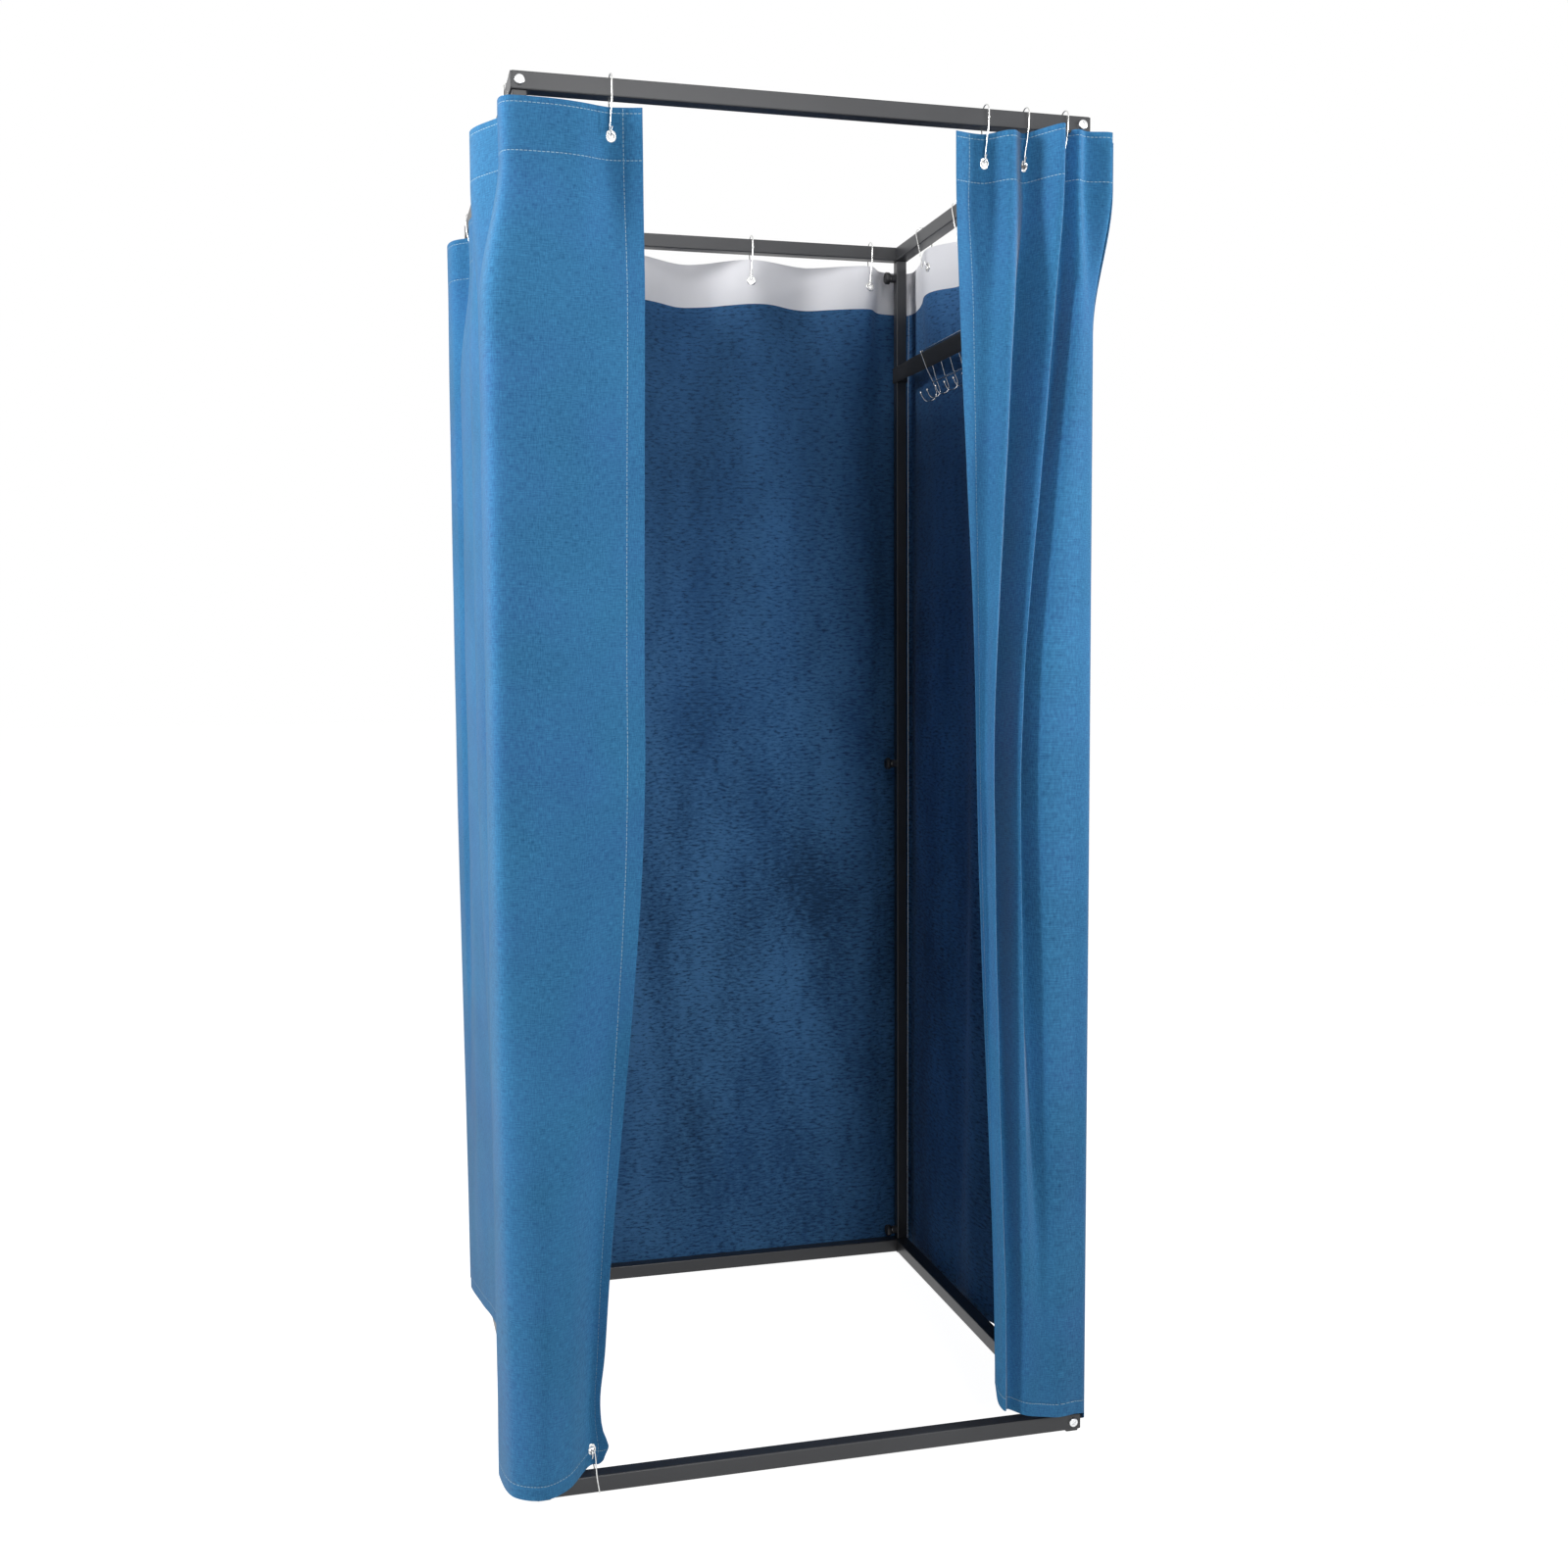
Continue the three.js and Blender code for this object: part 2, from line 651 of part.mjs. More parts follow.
// Every line of the wrap in order, and where each curtain starts and ends in it
function buildWrap() {
  const runs = [
    frontLeftStations(),
    [cornerStation('front_left', -1, -1)],
    sideStations('left', -1, 1),
    [cornerStation('back_left', -1, 1)],
    sideStations('back', -1, 1),
    [cornerStation('back_right', 1, 1)],
    sideStations('right', 1, -1),
    [cornerStation('front_right', 1, -1)],
    frontRightStations(),
  ];
  const starts = [];
  let count = 0;
  for (const run of runs) {
    starts.push(count);
    count += run.length;
  }
  return { stations: runs.flat(), corners: [starts[1], starts[3], starts[5], starts[7]], last: count - 1 };
}
const wrap = buildWrap();

// The plan curve of the wrap at a height above the floor
function planCurve(height) {
  const drop = clothTop - height;
  const topOut = 1 - THREE.MathUtils.smoothstep(drop, foldSettleStart, foldSettleEnd);
  const topDraw = 1 - THREE.MathUtils.smoothstep(drop, drawSettleStart, drawSettleEnd);
  const foot = 1 - THREE.MathUtils.smoothstep(height, 0, footSettleEnd);
  const points = wrap.stations.map(([top, middle, low], index) => {
    const onFront = index < wrap.corners[0] || index > wrap.corners[3];
    const onSide = (index > wrap.corners[0] && index < wrap.corners[1])
      || (index > wrap.corners[2] && index < wrap.corners[3]);
    const lerp = (axis, topWeight) => middle[axis]
      + (top[axis] - middle[axis]) * topWeight + (low[axis] - middle[axis]) * foot;
    return new THREE.Vector3(
      lerp('x', onFront ? topDraw : topOut),
      lerp('y', onSide ? topDraw : topOut),
      top.z,
    );
  });
  return new THREE.CatmullRomCurve3(points, false, 'centripetal');
}

// One point of the cloth's middle surface, its way outward and its hem lift. Place counts stations
function clothPoint(curve, place) {
  const t = Math.min(Math.max(place / wrap.last, 0), 1);
  const point = curve.getPoint(t);
  const tangent = curve.getTangent(t);
  const flat = Math.hypot(tangent.x, tangent.y);
  return { point, out: new THREE.Vector3(-tangent.y / flat, tangent.x / flat, 0) };
}

// The station place that lies a length along the curve from a start place
function placeBeyond(curve, start, length) {
  const step = 0.01;
  const here = clothPoint(curve, start).point;
  const next = clothPoint(curve, start + step * Math.sign(length)).point;
  const speed = Math.hypot(next.x - here.x, next.y - here.y) / step;
  return start + length / speed;
}

// The heights of the cloth's rows as shares of its length, with one row at each line of eyelets
const bodyRowShares = [0.12, 0.38, 0.64, 0.83, 0.92];
const rowShares = [
  0,
  (tieHeight - clothFoot) / clothLength,
  ...bodyRowShares,
  (topRailTop - hookDrop - clothFoot) / clothLength,
  1,
];

// A closed sheet between two places of the wrap, with its cut ends a seam's gap back from them
function clothSheet({ from, to, lift, trimStart, trimEnd }) {
  const columns = (to - from) * lineColumnCount;
  const sides = [[], []];
  for (const share of rowShares) {
    const curve = planCurve(clothFoot + clothLength * share);
    const first = trimStart ? placeBeyond(curve, from, clothSeamGap) : from;
    const final = trimEnd ? placeBeyond(curve, to, -clothSeamGap) : to;
    for (let i = 0; i <= columns; i++) {
      const { point, out } = clothPoint(curve, first + (final - first) * i / columns);
      const rise = lift + Math.max(point.z, 0) * (1 - share);
      point.z = clothFoot + clothLength * share + rise;
      sides[0].push(point.clone().addScaledVector(out, clothThickness / 2));
      sides[1].push(point.clone().addScaledVector(out, -clothThickness / 2));
    }
  }
  return sheetGeometry(sides, columns + 1, rowShares.length);
}

// Joins the outer and inner grids of a sheet with faces and rims
function sheetGeometry([outer, inner], width, height) {
  const positions = [...outer, ...inner].flatMap((p) => p.toArray());
  const index = [];
  const quad = (a, b, c, d) => index.push(a, b, c, a, c, d);
  const o = (i, j) => j * width + i;
  const n = (i, j) => outer.length + o(i, j);
  for (let j = 0; j + 1 < height; j++) {
    for (let i = 0; i + 1 < width; i++) {
      quad(o(i, j), o(i, j + 1), o(i + 1, j + 1), o(i + 1, j));
      quad(n(i, j), n(i + 1, j), n(i + 1, j + 1), n(i, j + 1));
    }
    quad(o(0, j), n(0, j), n(0, j + 1), o(0, j + 1));
    quad(o(width - 1, j), o(width - 1, j + 1), n(width - 1, j + 1), n(width - 1, j));
  }
  for (let i = 0; i + 1 < width; i++) {
    quad(o(i, 0), o(i + 1, 0), n(i + 1, 0), n(i, 0));
    quad(o(i, height - 1), n(i, height - 1), n(i + 1, height - 1), o(i + 1, height - 1));
  }
  const geometry = new THREE.BufferGeometry();
  geometry.setAttribute('position', new THREE.Float32BufferAttribute(positions, 3));
  geometry.setIndex(index);
  return geometry;
}

// A metal eyelet: a washer set in the cloth, facing the given way
function eyeletRing(centre, facing) {
  const profile = [
    new THREE.Vector2(eyeletHoleRadius, -eyeletThickness / 2),
    new THREE.Vector2(eyeletRadius, -eyeletThickness / 2),
    new THREE.Vector2(eyeletRadius, eyeletThickness / 2),
    new THREE.Vector2(eyeletHoleRadius, eyeletThickness / 2),
    new THREE.Vector2(eyeletHoleRadius, -eyeletThickness / 2),
  ];
  return toSolid(placeFacing(new THREE.LatheGeometry(profile, smallSides), centre, facing));
}

function eyeletHole(centre, facing) {
  const radius = (eyeletHoleRadius + eyeletRadius) / 2;
  const cutter = new THREE.CylinderGeometry(radius, radius, eyeletThickness + cutOverrun, smallSides);
  return toSolid(placeFacing(cutter, centre, facing));
}

// Turns a form made round the Y axis to face a way, with its middle at a centre
function placeFacing(geometry, centre, facing) {
  const turn = new THREE.Quaternion().setFromUnitVectors(new THREE.Vector3(0, 1, 0), facing);
  return geometry.applyQuaternion(turn).translate(centre.x, centre.y, centre.z);
}

// The centre and facing of an eyelet on a station line at a height
function eyeletAt(place, height) {
  const { point, out } = clothPoint(planCurve(height), place);
  return { centre: new THREE.Vector3(point.x, point.y, height), facing: out };
}

// The eyelets of a full side: every second line from the first after the corner's neighbour
function sideEyelets(rowName, firstPlace, reversed) {
  const row = hookRows[rowName];
  return row.placeShares.map((_, i) => {
    const index = reversed ? row.placeShares.length - 1 - i : i;
    return eyeletAt(firstPlace + 2 * i, eyeletOf(row, index).height);
  });
}

function curtain(sheet, eyelets) {
  let solid = toSolid(clothSheet(sheet));
  for (const { centre, facing } of eyelets) {
    solid = solid.subtract(eyeletHole(centre, facing)).add(eyeletRing(centre, facing));
  }
  return toGeometry(solid);
}

function addCurtains() {
  const [frontLeft, backLeft, backRight, frontRight] = wrap.corners;
  const firstHeight = eyeletOf(hookRows.front_left, 0).height;
  const rightRow = hookRows.front_right;
  const rightHookPlaces = [wrap.last - 1, wrap.last - 3, wrap.last - 5];
  const ends = { trimStart: true, trimEnd: true, lift: 0 };
  const sheets = {
    front_left_curtain: [
      { ...ends, from: 0, to: frontLeft, trimStart: false },
      [eyeletAt(1, firstHeight), eyeletAt(1, tieHeight)],
    ],
    left_curtain: [
      { ...ends, from: frontLeft, to: backLeft },
      sideEyelets('left', frontLeft + 2, false),
    ],
    back_curtain: [
      { ...ends, from: backLeft, to: backRight },
      sideEyelets('back', backLeft + 2, false),
    ],
    right_curtain: [
      { ...ends, from: backRight, to: frontRight },
      sideEyelets('right', backRight + 2, true),
    ],
    front_right_curtain: [
      { ...ends, from: frontRight, to: wrap.last, trimEnd: false, lift: frontRightLift },
      rightHookPlaces.map((place, i) => eyeletAt(place, eyeletOf(rightRow, i).height)),
    ],
  };
  for (const [name, [sheet, eyelets]] of Object.entries(sheets)) {
    addPart(name, curtain(sheet, eyelets), finishes.blueCloth);
  }
}

// The strap's plan: its tail, once round the back right post, straight along to the front right
// post, once round that, and its other tail
function strapPath() {
  const reach = postSize / 2 + seatGap + strapThickness / 2;
  const bend = strapBendRadius;
  const runX = railLineX - reach;
  const farX = railLineX + reach;
  const tailX = runX + strapThickness + strapTailGap;
  const near = railLineY - reach;
  const far = railLineY + reach;
  const path = new THREE.Path();
  path.moveTo(tailX, near - bend - strapTail);
  path.absarc(tailX + bend, near - bend, bend, Math.PI, Math.PI / 2, true);
  path.absarc(farX - bend, near + bend, bend, -Math.PI / 2, 0);
  path.absarc(farX - bend, far - bend, bend, 0, Math.PI / 2);
  path.absarc(runX + bend, far - bend, bend, Math.PI / 2, Math.PI);
  const runEnd = near - bend - strapTail - seatGap;
  const runSteps = 7;
  for (let i = 0; i <= runSteps; i++) path.lineTo(runX, runEnd * (1 - 2 * i / runSteps));
  path.absarc(runX + bend, -far + bend, bend, Math.PI, 1.5 * Math.PI);
  path.absarc(farX - bend, -far + bend, bend, -Math.PI / 2, 0);
  path.absarc(farX - bend, -near - bend, bend, 0, Math.PI / 2);
  path.absarc(tailX + bend, -near + bend, bend, 1.5 * Math.PI, Math.PI, true);
  path.lineTo(tailX, -near + bend + strapTail);
  return path;
}

// The strap's twist: level at the posts, and leaning out at its lower edge where the rack hangs
function strapTwist(y) {
  const fade = railLineY - postFaceOut - strapTail - Math.abs(y);
  return strapTilt * THREE.MathUtils.smoothstep(fade, 0, strapTwistLength);
}

function strapGeometry() {
  const path = strapPath().getPoints(strapBendSides).filter((p, i, all) => !i || p.distanceTo(all[i - 1]) > seatGap);
  const half = new THREE.Vector2(strapThickness / 2, strapWidth / 2);
  const positions = [];
  const index = [];
  path.forEach((point, i) => {
    const before = path[Math.max(i - 1, 0)];
    const after = path[Math.min(i + 1, path.length - 1)];
    const inWay = point.clone().sub(before).normalize();
    const outWay = after.clone().sub(point).normalize();
    const way = inWay.add(outWay).normalize();
    const onRun = Math.abs(point.y) < railLineY - postFaceOut - strapTail && point.x < railLineX;
    const turn = onRun ? strapTwist(point.y) : 0;
    const side = new THREE.Vector3(-way.y * Math.cos(turn), way.x * Math.cos(turn), Math.sin(turn));
    const up = new THREE.Vector3(way.y * Math.sin(turn), -way.x * Math.sin(turn), Math.cos(turn));
    const centre = new THREE.Vector3(point.x, point.y, strapHeight);
    for (const [s, u] of [[-1, -1], [1, -1], [1, 1], [-1, 1]]) {
      const corner = centre.clone().addScaledVector(side, s * half.x).addScaledVector(up, u * half.y);
      positions.push(...corner.toArray());
    }
    if (!i) return;
    // Opposite faces are split along the same diagonal, so that the twist keeps them apart
    for (let k = 0; k < 4; k++) {
      const [a, b] = [4 * (i - 1) + k, 4 * (i - 1) + (k + 1) % 4];
      if (k < 2) index.push(a, b + 4, a + 4, a, b, b + 4);
      else index.push(a, b, a + 4, b, b + 4, a + 4);
    }
  });
  const end = positions.length / 3 - 4;
  index.push(0, 2, 1, 0, 3, 2, end, end + 1, end + 2, end, end + 2, end + 3);
  const geometry = new THREE.BufferGeometry();
  geometry.setAttribute('position', new THREE.Float32BufferAttribute(positions, 3));
  geometry.setIndex(index);
  return geometry;
}

// One wire of the rack: down one face of the strap, in under it, and round into an upturned hook
function rackWire(y, face, hookRadius) {
  const standOff = face * (strapThickness / 2 + seatGap + rackWireRadius);
  const rodHeight = strapWidth / 2 + seatGap + rackRodRadius;
  const bendTop = rodHeight - rackDrop - rackStem;
  const at = (x, z) => new THREE.Vector3(x, y, z);
  const tip = at(-2 * hookRadius, bendTop + rackTipRise);
  const points = [
    at(standOff, rodHeight + rackRodRadius / 2),
    at(standOff, -strapWidth / 2 - rackWireRadius),
    at(0, rodHeight - rackDrop),
    ...bend(-hookRadius, bendTop, hookRadius, 0, -2).map((point) => at(point.x, point.z)),
    tip,
  ];
  const ball = new THREE.SphereGeometry(rackBallRadius, wireSides, wireSides - 1).translate(tip.x, y, tip.z);
  return toSolid(wire(points, rackWireRadius)).add(toSolid(ball));
}

function hookRack() {
  const rodHeight = strapWidth / 2 + seatGap + rackRodRadius;
  const rod = (height, out) => roundBar(rackRodRadius, rackLength + 2 * rackRodRadius, wireSides + 1)
    .rotate(alongY)
    .translate([out, 0, height]);
  const solids = [rod(rodHeight, 0), rod(rodHeight - rackDrop, 0)];
  for (const end of [-1, 1]) solids.push(rackWire(end * rackLength / 2, -1, rackEndHookRadius));
  for (let i = 0; i < rackHookCount; i++) {
    solids.push(rackWire((i - (rackHookCount - 1) / 2) * rackHookSpacing, 1, rackHookRadius));
  }
  return toGeometry(joined(solids));
}

function addStrapAndRack() {
  addPart('accessory_strap', strapGeometry(), finishes.blackWebbing);
  const runX = railLineX - postSize / 2 - seatGap - strapThickness / 2;
  addPart('hook_rack', hookRack(), finishes.brightSteel, {
    position: [runX, rackBackEnd - rackLength / 2, strapHeight],
    rotation: [0, -strapTilt, 0],
  });
}

addRails();
addPosts();
addHooks();
addCurtains();
addStrapAndRack();

export default model;
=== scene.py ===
"""A portable fitting room, dressed for rendering.

A square frame of black powder-coated tube carries a wrap of lined blue curtains on wire hooks, and a
strap with a small rack of coat hooks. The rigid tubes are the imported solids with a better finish; the
curtains, eyelets, hooks, knobs, bolts, strap and rack are fuller pieces built here.
"""

import json
import logging
import math
from dataclasses import dataclass, field
from enum import Enum
from typing import Any, Callable, Iterable, Mapping, Sequence

import bpy
import numpy as np
from mathutils import Matrix, Vector, noise

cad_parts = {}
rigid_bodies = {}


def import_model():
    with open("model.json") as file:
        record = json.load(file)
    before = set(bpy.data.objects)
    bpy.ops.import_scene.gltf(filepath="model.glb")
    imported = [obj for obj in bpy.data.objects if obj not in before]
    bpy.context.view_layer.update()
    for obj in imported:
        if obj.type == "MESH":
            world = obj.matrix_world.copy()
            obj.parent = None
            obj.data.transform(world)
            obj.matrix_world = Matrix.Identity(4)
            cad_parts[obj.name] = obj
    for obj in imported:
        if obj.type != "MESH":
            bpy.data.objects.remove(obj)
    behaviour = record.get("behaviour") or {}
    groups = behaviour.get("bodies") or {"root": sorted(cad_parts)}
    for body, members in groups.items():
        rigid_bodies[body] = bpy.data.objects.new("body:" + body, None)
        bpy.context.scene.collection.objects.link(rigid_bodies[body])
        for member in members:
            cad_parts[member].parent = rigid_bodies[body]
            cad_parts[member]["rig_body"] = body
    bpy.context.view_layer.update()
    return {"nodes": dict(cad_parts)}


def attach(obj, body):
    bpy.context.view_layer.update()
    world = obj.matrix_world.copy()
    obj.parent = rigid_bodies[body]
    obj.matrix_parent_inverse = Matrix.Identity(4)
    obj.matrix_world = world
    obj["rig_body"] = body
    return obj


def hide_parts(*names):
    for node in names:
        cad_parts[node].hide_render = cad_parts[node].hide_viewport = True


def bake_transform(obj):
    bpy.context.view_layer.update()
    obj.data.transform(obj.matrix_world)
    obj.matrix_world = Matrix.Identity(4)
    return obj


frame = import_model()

Colour = tuple[float, float, float, float]
Material = bpy.types.Material
Piece = bpy.types.Object
Socket = bpy.types.NodeSocket

log = logging.getLogger("fitting_room")

MM = 0.001
POLE = 1e-6  # a radius below this many millimetres is a pole


# ---- Colours, nodes and meshes ----


def linear(hex_colour: str) -> Colour:
    """Turns an sRGB hex colour into linear light.

    Args:
        hex_colour: The colour as "#rrggbb".

    Returns:
        Red, green, blue and an alpha of one.
    """
    digits = hex_colour.lstrip("#")
    channels = []
    for start in (0, 2, 4):
        share = int(digits[start : start + 2], 16) / 255
        channels.append(share / 12.92 if share <= 0.04045 else ((share + 0.055) / 1.055) ** 2.4)
    return channels[0], channels[1], channels[2], 1.0


def add_node(
    tree: bpy.types.NodeTree,
    kind: str,
    settings: Mapping[str | int, Any] | None = None,
    links: Mapping[str | int, Socket] | None = None,
) -> bpy.types.Node:
    """Adds a node, gives it its settings and links its inputs.

    Args:
        tree: The node tree.
        kind: The node's type, without its "ShaderNode" prefix.
        settings: Properties of the node, or values of its inputs by name or number.
        links: Sockets that feed its inputs, by name or number.

    Returns:
        The new node.
    """
    node = tree.nodes.new("ShaderNode" + kind)
    for key, value in (settings or {}).items():
        if isinstance(key, str) and hasattr(node, key):
            setattr(node, key, value)
        else:
            node.inputs[key].default_value = value
    for key, socket in (links or {}).items():
        tree.links.new(socket, node.inputs[key])
    return node


class Nodes:
    """A node tree in the making, with short ways to add the kinds of node that recur."""

    def __init__(self, owner: Material | bpy.types.World) -> None:
        """Empties the node tree of a material or a world."""
        owner.use_nodes = True
        self.tree = owner.node_tree
        self.tree.nodes.clear()

    def math(self, operation: str, *values: float | Socket, clamp: bool = False) -> Socket:
        """Calculates with numbers and sockets.

        Args:
            operation: The Math node's operation.
            values: Its inputs, in order.
            clamp: Whether the result is kept between nought and one.

        Returns:
            The result.
        """
        numbers = {i: value for i, value in enumerate(values) if isinstance(value, (int, float))}
        sockets = {i: value for i, value in enumerate(values) if i not in numbers}
        return add_node(self.tree, "Math", {"operation": operation, "use_clamp": clamp, **numbers}, sockets).outputs[0]

    def noise(
        self, where: Socket, size_mm: float, detail: float, roughness: float = 0.5
    ) -> Socket:
        """Draws noise whose cells have a size in millimetres."""
        settings = {"Scale": 1 / (size_mm * MM), "Detail": detail, "Roughness": roughness}
        return add_node(self.tree, "TexNoise", settings, {"Vector": where}).outputs["Fac"]

    def remap(
        self,
        value: Socket,
        source: tuple[float, float] = (0.0, 1.0),
        target: tuple[float, float] = (0.0, 1.0),
        smooth: bool = False,
    ) -> Socket:
        """Carries a value from one span to another.

        Args:
            value: The value.
            source: The span that it comes from. Past its ends, the value stays at the target's ends.
            target: The span that it goes to.
            smooth: Whether it eases in and out.

        Returns:
            The carried value.
        """
        settings = {
            "interpolation_type": "SMOOTHSTEP" if smooth else "LINEAR",
            "From Min": source[0], "From Max": source[1], "To Min": target[0], "To Max": target[1],
        }
        return add_node(self.tree, "MapRange", settings, {"Value": value}).outputs["Result"]

    def mix(
        self, share: Socket, first: str | Socket, second: str | Socket
    ) -> Socket:
        """Mixes two colours, each of them an sRGB hex colour or a socket, by the share of the second."""
        ends = {6: first, 7: second}
        colours = {i: linear(end) for i, end in ends.items() if isinstance(end, str)}
        sockets = {i: end for i, end in ends.items() if i not in colours}
        return add_node(self.tree, "Mix", {"data_type": "RGBA", **colours}, {0: share, **sockets}).outputs[2]

    def stretch(self, where: Socket, scale: Sequence[float]) -> Socket:
        """Multiplies coordinates by a scale for each axis."""
        return add_node(self.tree, "VectorMath", {"operation": "MULTIPLY", 1: scale}, {0: where}).outputs[0]


class Paint(Nodes):
    """A material in the making, with its Principled shader."""

    def __init__(self, name: str) -> None:
        """Makes an empty material with its shader and output."""
        self.material = bpy.data.materials.new(name)
        super().__init__(self.material)
        self.shader = add_node(self.tree, "BsdfPrincipled")
        add_node(self.tree, "OutputMaterial", links={"Surface": self.shader.outputs["BSDF"]})

    def on_object(self) -> Socket:
        """Returns the object's own coordinates, in metres."""
        return add_node(self.tree, "TexCoord").outputs["Object"]

    def on_cloth(self) -> tuple[Socket, Socket, Socket]:
        """Returns the flat cloth's coordinates in metres, the place along it and the place down it."""
        uv = add_node(self.tree, "UVMap", {"uv_map": "cloth"}).outputs["UV"]
        split = add_node(self.tree, "SeparateXYZ", links={0: uv})
        return uv, split.outputs["X"], split.outputs["Y"]

    def feed(self, name: str, socket: Socket) -> None:
        """Links a socket to an input of the shader."""
        self.tree.links.new(socket, self.shader.inputs[name])

    def relief(
        self, height: Socket, strength: float, depth_mm: float, under: Socket | None = None
    ) -> Socket:
        """Bumps the surface.

        Args:
            height: The relief, from nought to one.
            strength: How much of it shows.
            depth_mm: Its depth, in millimetres.
            under: The normal of a relief beneath it.

        Returns:
            The normal.
        """
        links = {"Height": height} if under is None else {"Height": height, "Normal": under}
        return add_node(self.tree, "Bump", {"Strength": strength, "Distance": depth_mm * MM}, links).outputs["Normal"]

    def done(self, constants: Mapping[str, Any]) -> Material:
        """Gives the shader its constants, and returns the material."""
        for name, value in constants.items():
            self.shader.inputs[name].default_value = value
        return self.material


def make_mesh(
    name: str,
    points: Iterable[Sequence[float]],
    faces: Sequence[Sequence[int]],
    materials: Sequence[Material],
    slots: Sequence[int] | None = None,
    smooth_below: float = 40.0,
) -> Piece:
    """Makes a mesh object from points in millimetres.

    Args:
        name: The piece's name.
        points: Its points, in millimetres in the shared frame.
        faces: Its faces, as point numbers.
        materials: Its materials, in slot order.
        slots: The material slot of each face, or None for the first.
        smooth_below: Edges that turn by less than this many degrees are smooth.

    Returns:
        The object, linked to the scene.
    """
    mesh = bpy.data.meshes.new(name)
    mesh.from_pydata([[c * MM for c in p] for p in points], [], faces)
    for material in materials:
        mesh.materials.append(material)
    if slots is not None:
        mesh.polygons.foreach_set("material_index", np.asarray(slots, np.int32))
    mesh.shade_smooth()
    mesh.set_sharp_from_angle(angle=math.radians(smooth_below))
    piece = bpy.data.objects.new(name, mesh)
    bpy.context.scene.collection.objects.link(piece)
    return piece


@dataclass
class Form:
    """Points and faces of a solid in the making, in millimetres."""

    points: list[Vector] = field(default_factory=list)
    faces: list[list[int]] = field(default_factory=list)
    slots: list[int] = field(default_factory=list)

    def add(self, other: "Form", slot: int | None = None) -> "Form":
        """Joins another form to this one.

        Args:
            other: The form to add.
            slot: The material slot for the added faces, or None to keep theirs.

        Returns:
            This form.
        """
        start = len(self.points)
        self.points += other.points
        self.faces += [[start + i for i in face] for face in other.faces]
        self.slots += [s if slot is None else slot for s in other.slots]
        return self

    def ring(self, points: Sequence[Vector], sides: int) -> list[int]:
        """Adds the points of a ring, or one point for a pole, and returns the numbers of the ring's points."""
        first = len(self.points)
        self.points += points
        return [first] * sides if len(points) == 1 else list(range(first, first + sides))

    def skin(self, rings: Sequence[Sequence[int]], flip: bool = False) -> None:
        """Joins each ring to the next by faces, which are triangles at a pole.

        Args:
            rings: The rings, as point numbers.
            flip: Whether the faces look the other way.
        """
        for lower, upper in zip(rings, rings[1:]):
            for i in range(len(lower)):
                j = (i + 1) % len(lower)
                a, b = (j, i) if flip else (i, j)
                self.faces.append(list(dict.fromkeys([lower[a], lower[b], upper[b], upper[a]])))
        self.slots = [0] * len(self.faces)

    def moved(self, matrix: Matrix) -> "Form":
        """Returns a copy that is moved by a matrix."""
        return Form([matrix @ p for p in self.points], [list(f) for f in self.faces], list(self.slots))

    def build(self, name: str, materials: Sequence[Material], smooth_below: float = 40.0) -> Piece:
        """Makes the object of this form."""
        return make_mesh(name, self.points, self.faces, materials, self.slots, smooth_below)


def circle(radii: Sequence[float], height: float) -> list[Vector]:
    """Gives points round the Z axis, one at each radius, or the pole for a single one."""
    angles = [math.tau * i / len(radii) for i in range(len(radii))]
    return [Vector((r * math.cos(a), r * math.sin(a), height)) for r, a in zip(radii, angles)]


def lathe(profile: Sequence[tuple[float, float]], sides: int, closed: bool = False) -> Form:
    """Turns a profile round the Z axis.

    Args:
        profile: Points as (radius, height). A radius of nought is a pole.
        sides: How many flat sides it has.
        closed: Whether the last point joins the first, as in a ring.

    Returns:
        The turned form.
    """
    form = Form()
    rings = [form.ring(circle([r] * (sides if r > POLE else 1), z), sides) for r, z in profile]
    form.skin(rings + rings[:1] if closed else rings)
    return form


def way_at(path: Sequence[Vector], k: int) -> Vector:
    """Gives the way along a path at one of its points."""
    return (path[min(k + 1, len(path) - 1)] - path[max(k - 1, 0)]).normalized()


def sweep(
    path: Sequence[Vector], section: Callable[[int], Sequence[tuple[float, float]]], up: Callable[[int], Vector]
) -> Form:
    """Carries a section along a path and closes its ends.

    Args:
        path: The points of the path.
        section: Gives the section's points at a path point, as (sideways, upward).
        up: Gives the upward way at a path point.

    Returns:
        The swept form.
    """
    form = Form()
    count = 0
    for k, point in enumerate(path):
        way, lift = way_at(path, k), up(k)
        lift = (lift - way * lift.dot(way)).normalized()
        side = way.cross(lift)
        ring = section(k)
        count = len(ring)
        form.points += [point + side * a + lift * b for a, b in ring]
    for k in range(len(path) - 1):
        for i in range(count):
            j = (i + 1) % count
            a, b = k * count, (k + 1) * count
            form.faces.append([a + i, b + i, b + j, a + j])
    form.faces.append(list(range(count)))
    form.faces.append([(len(path) - 1) * count + i for i in reversed(range(count))])
    form.slots = [0] * len(form.faces)
    return form


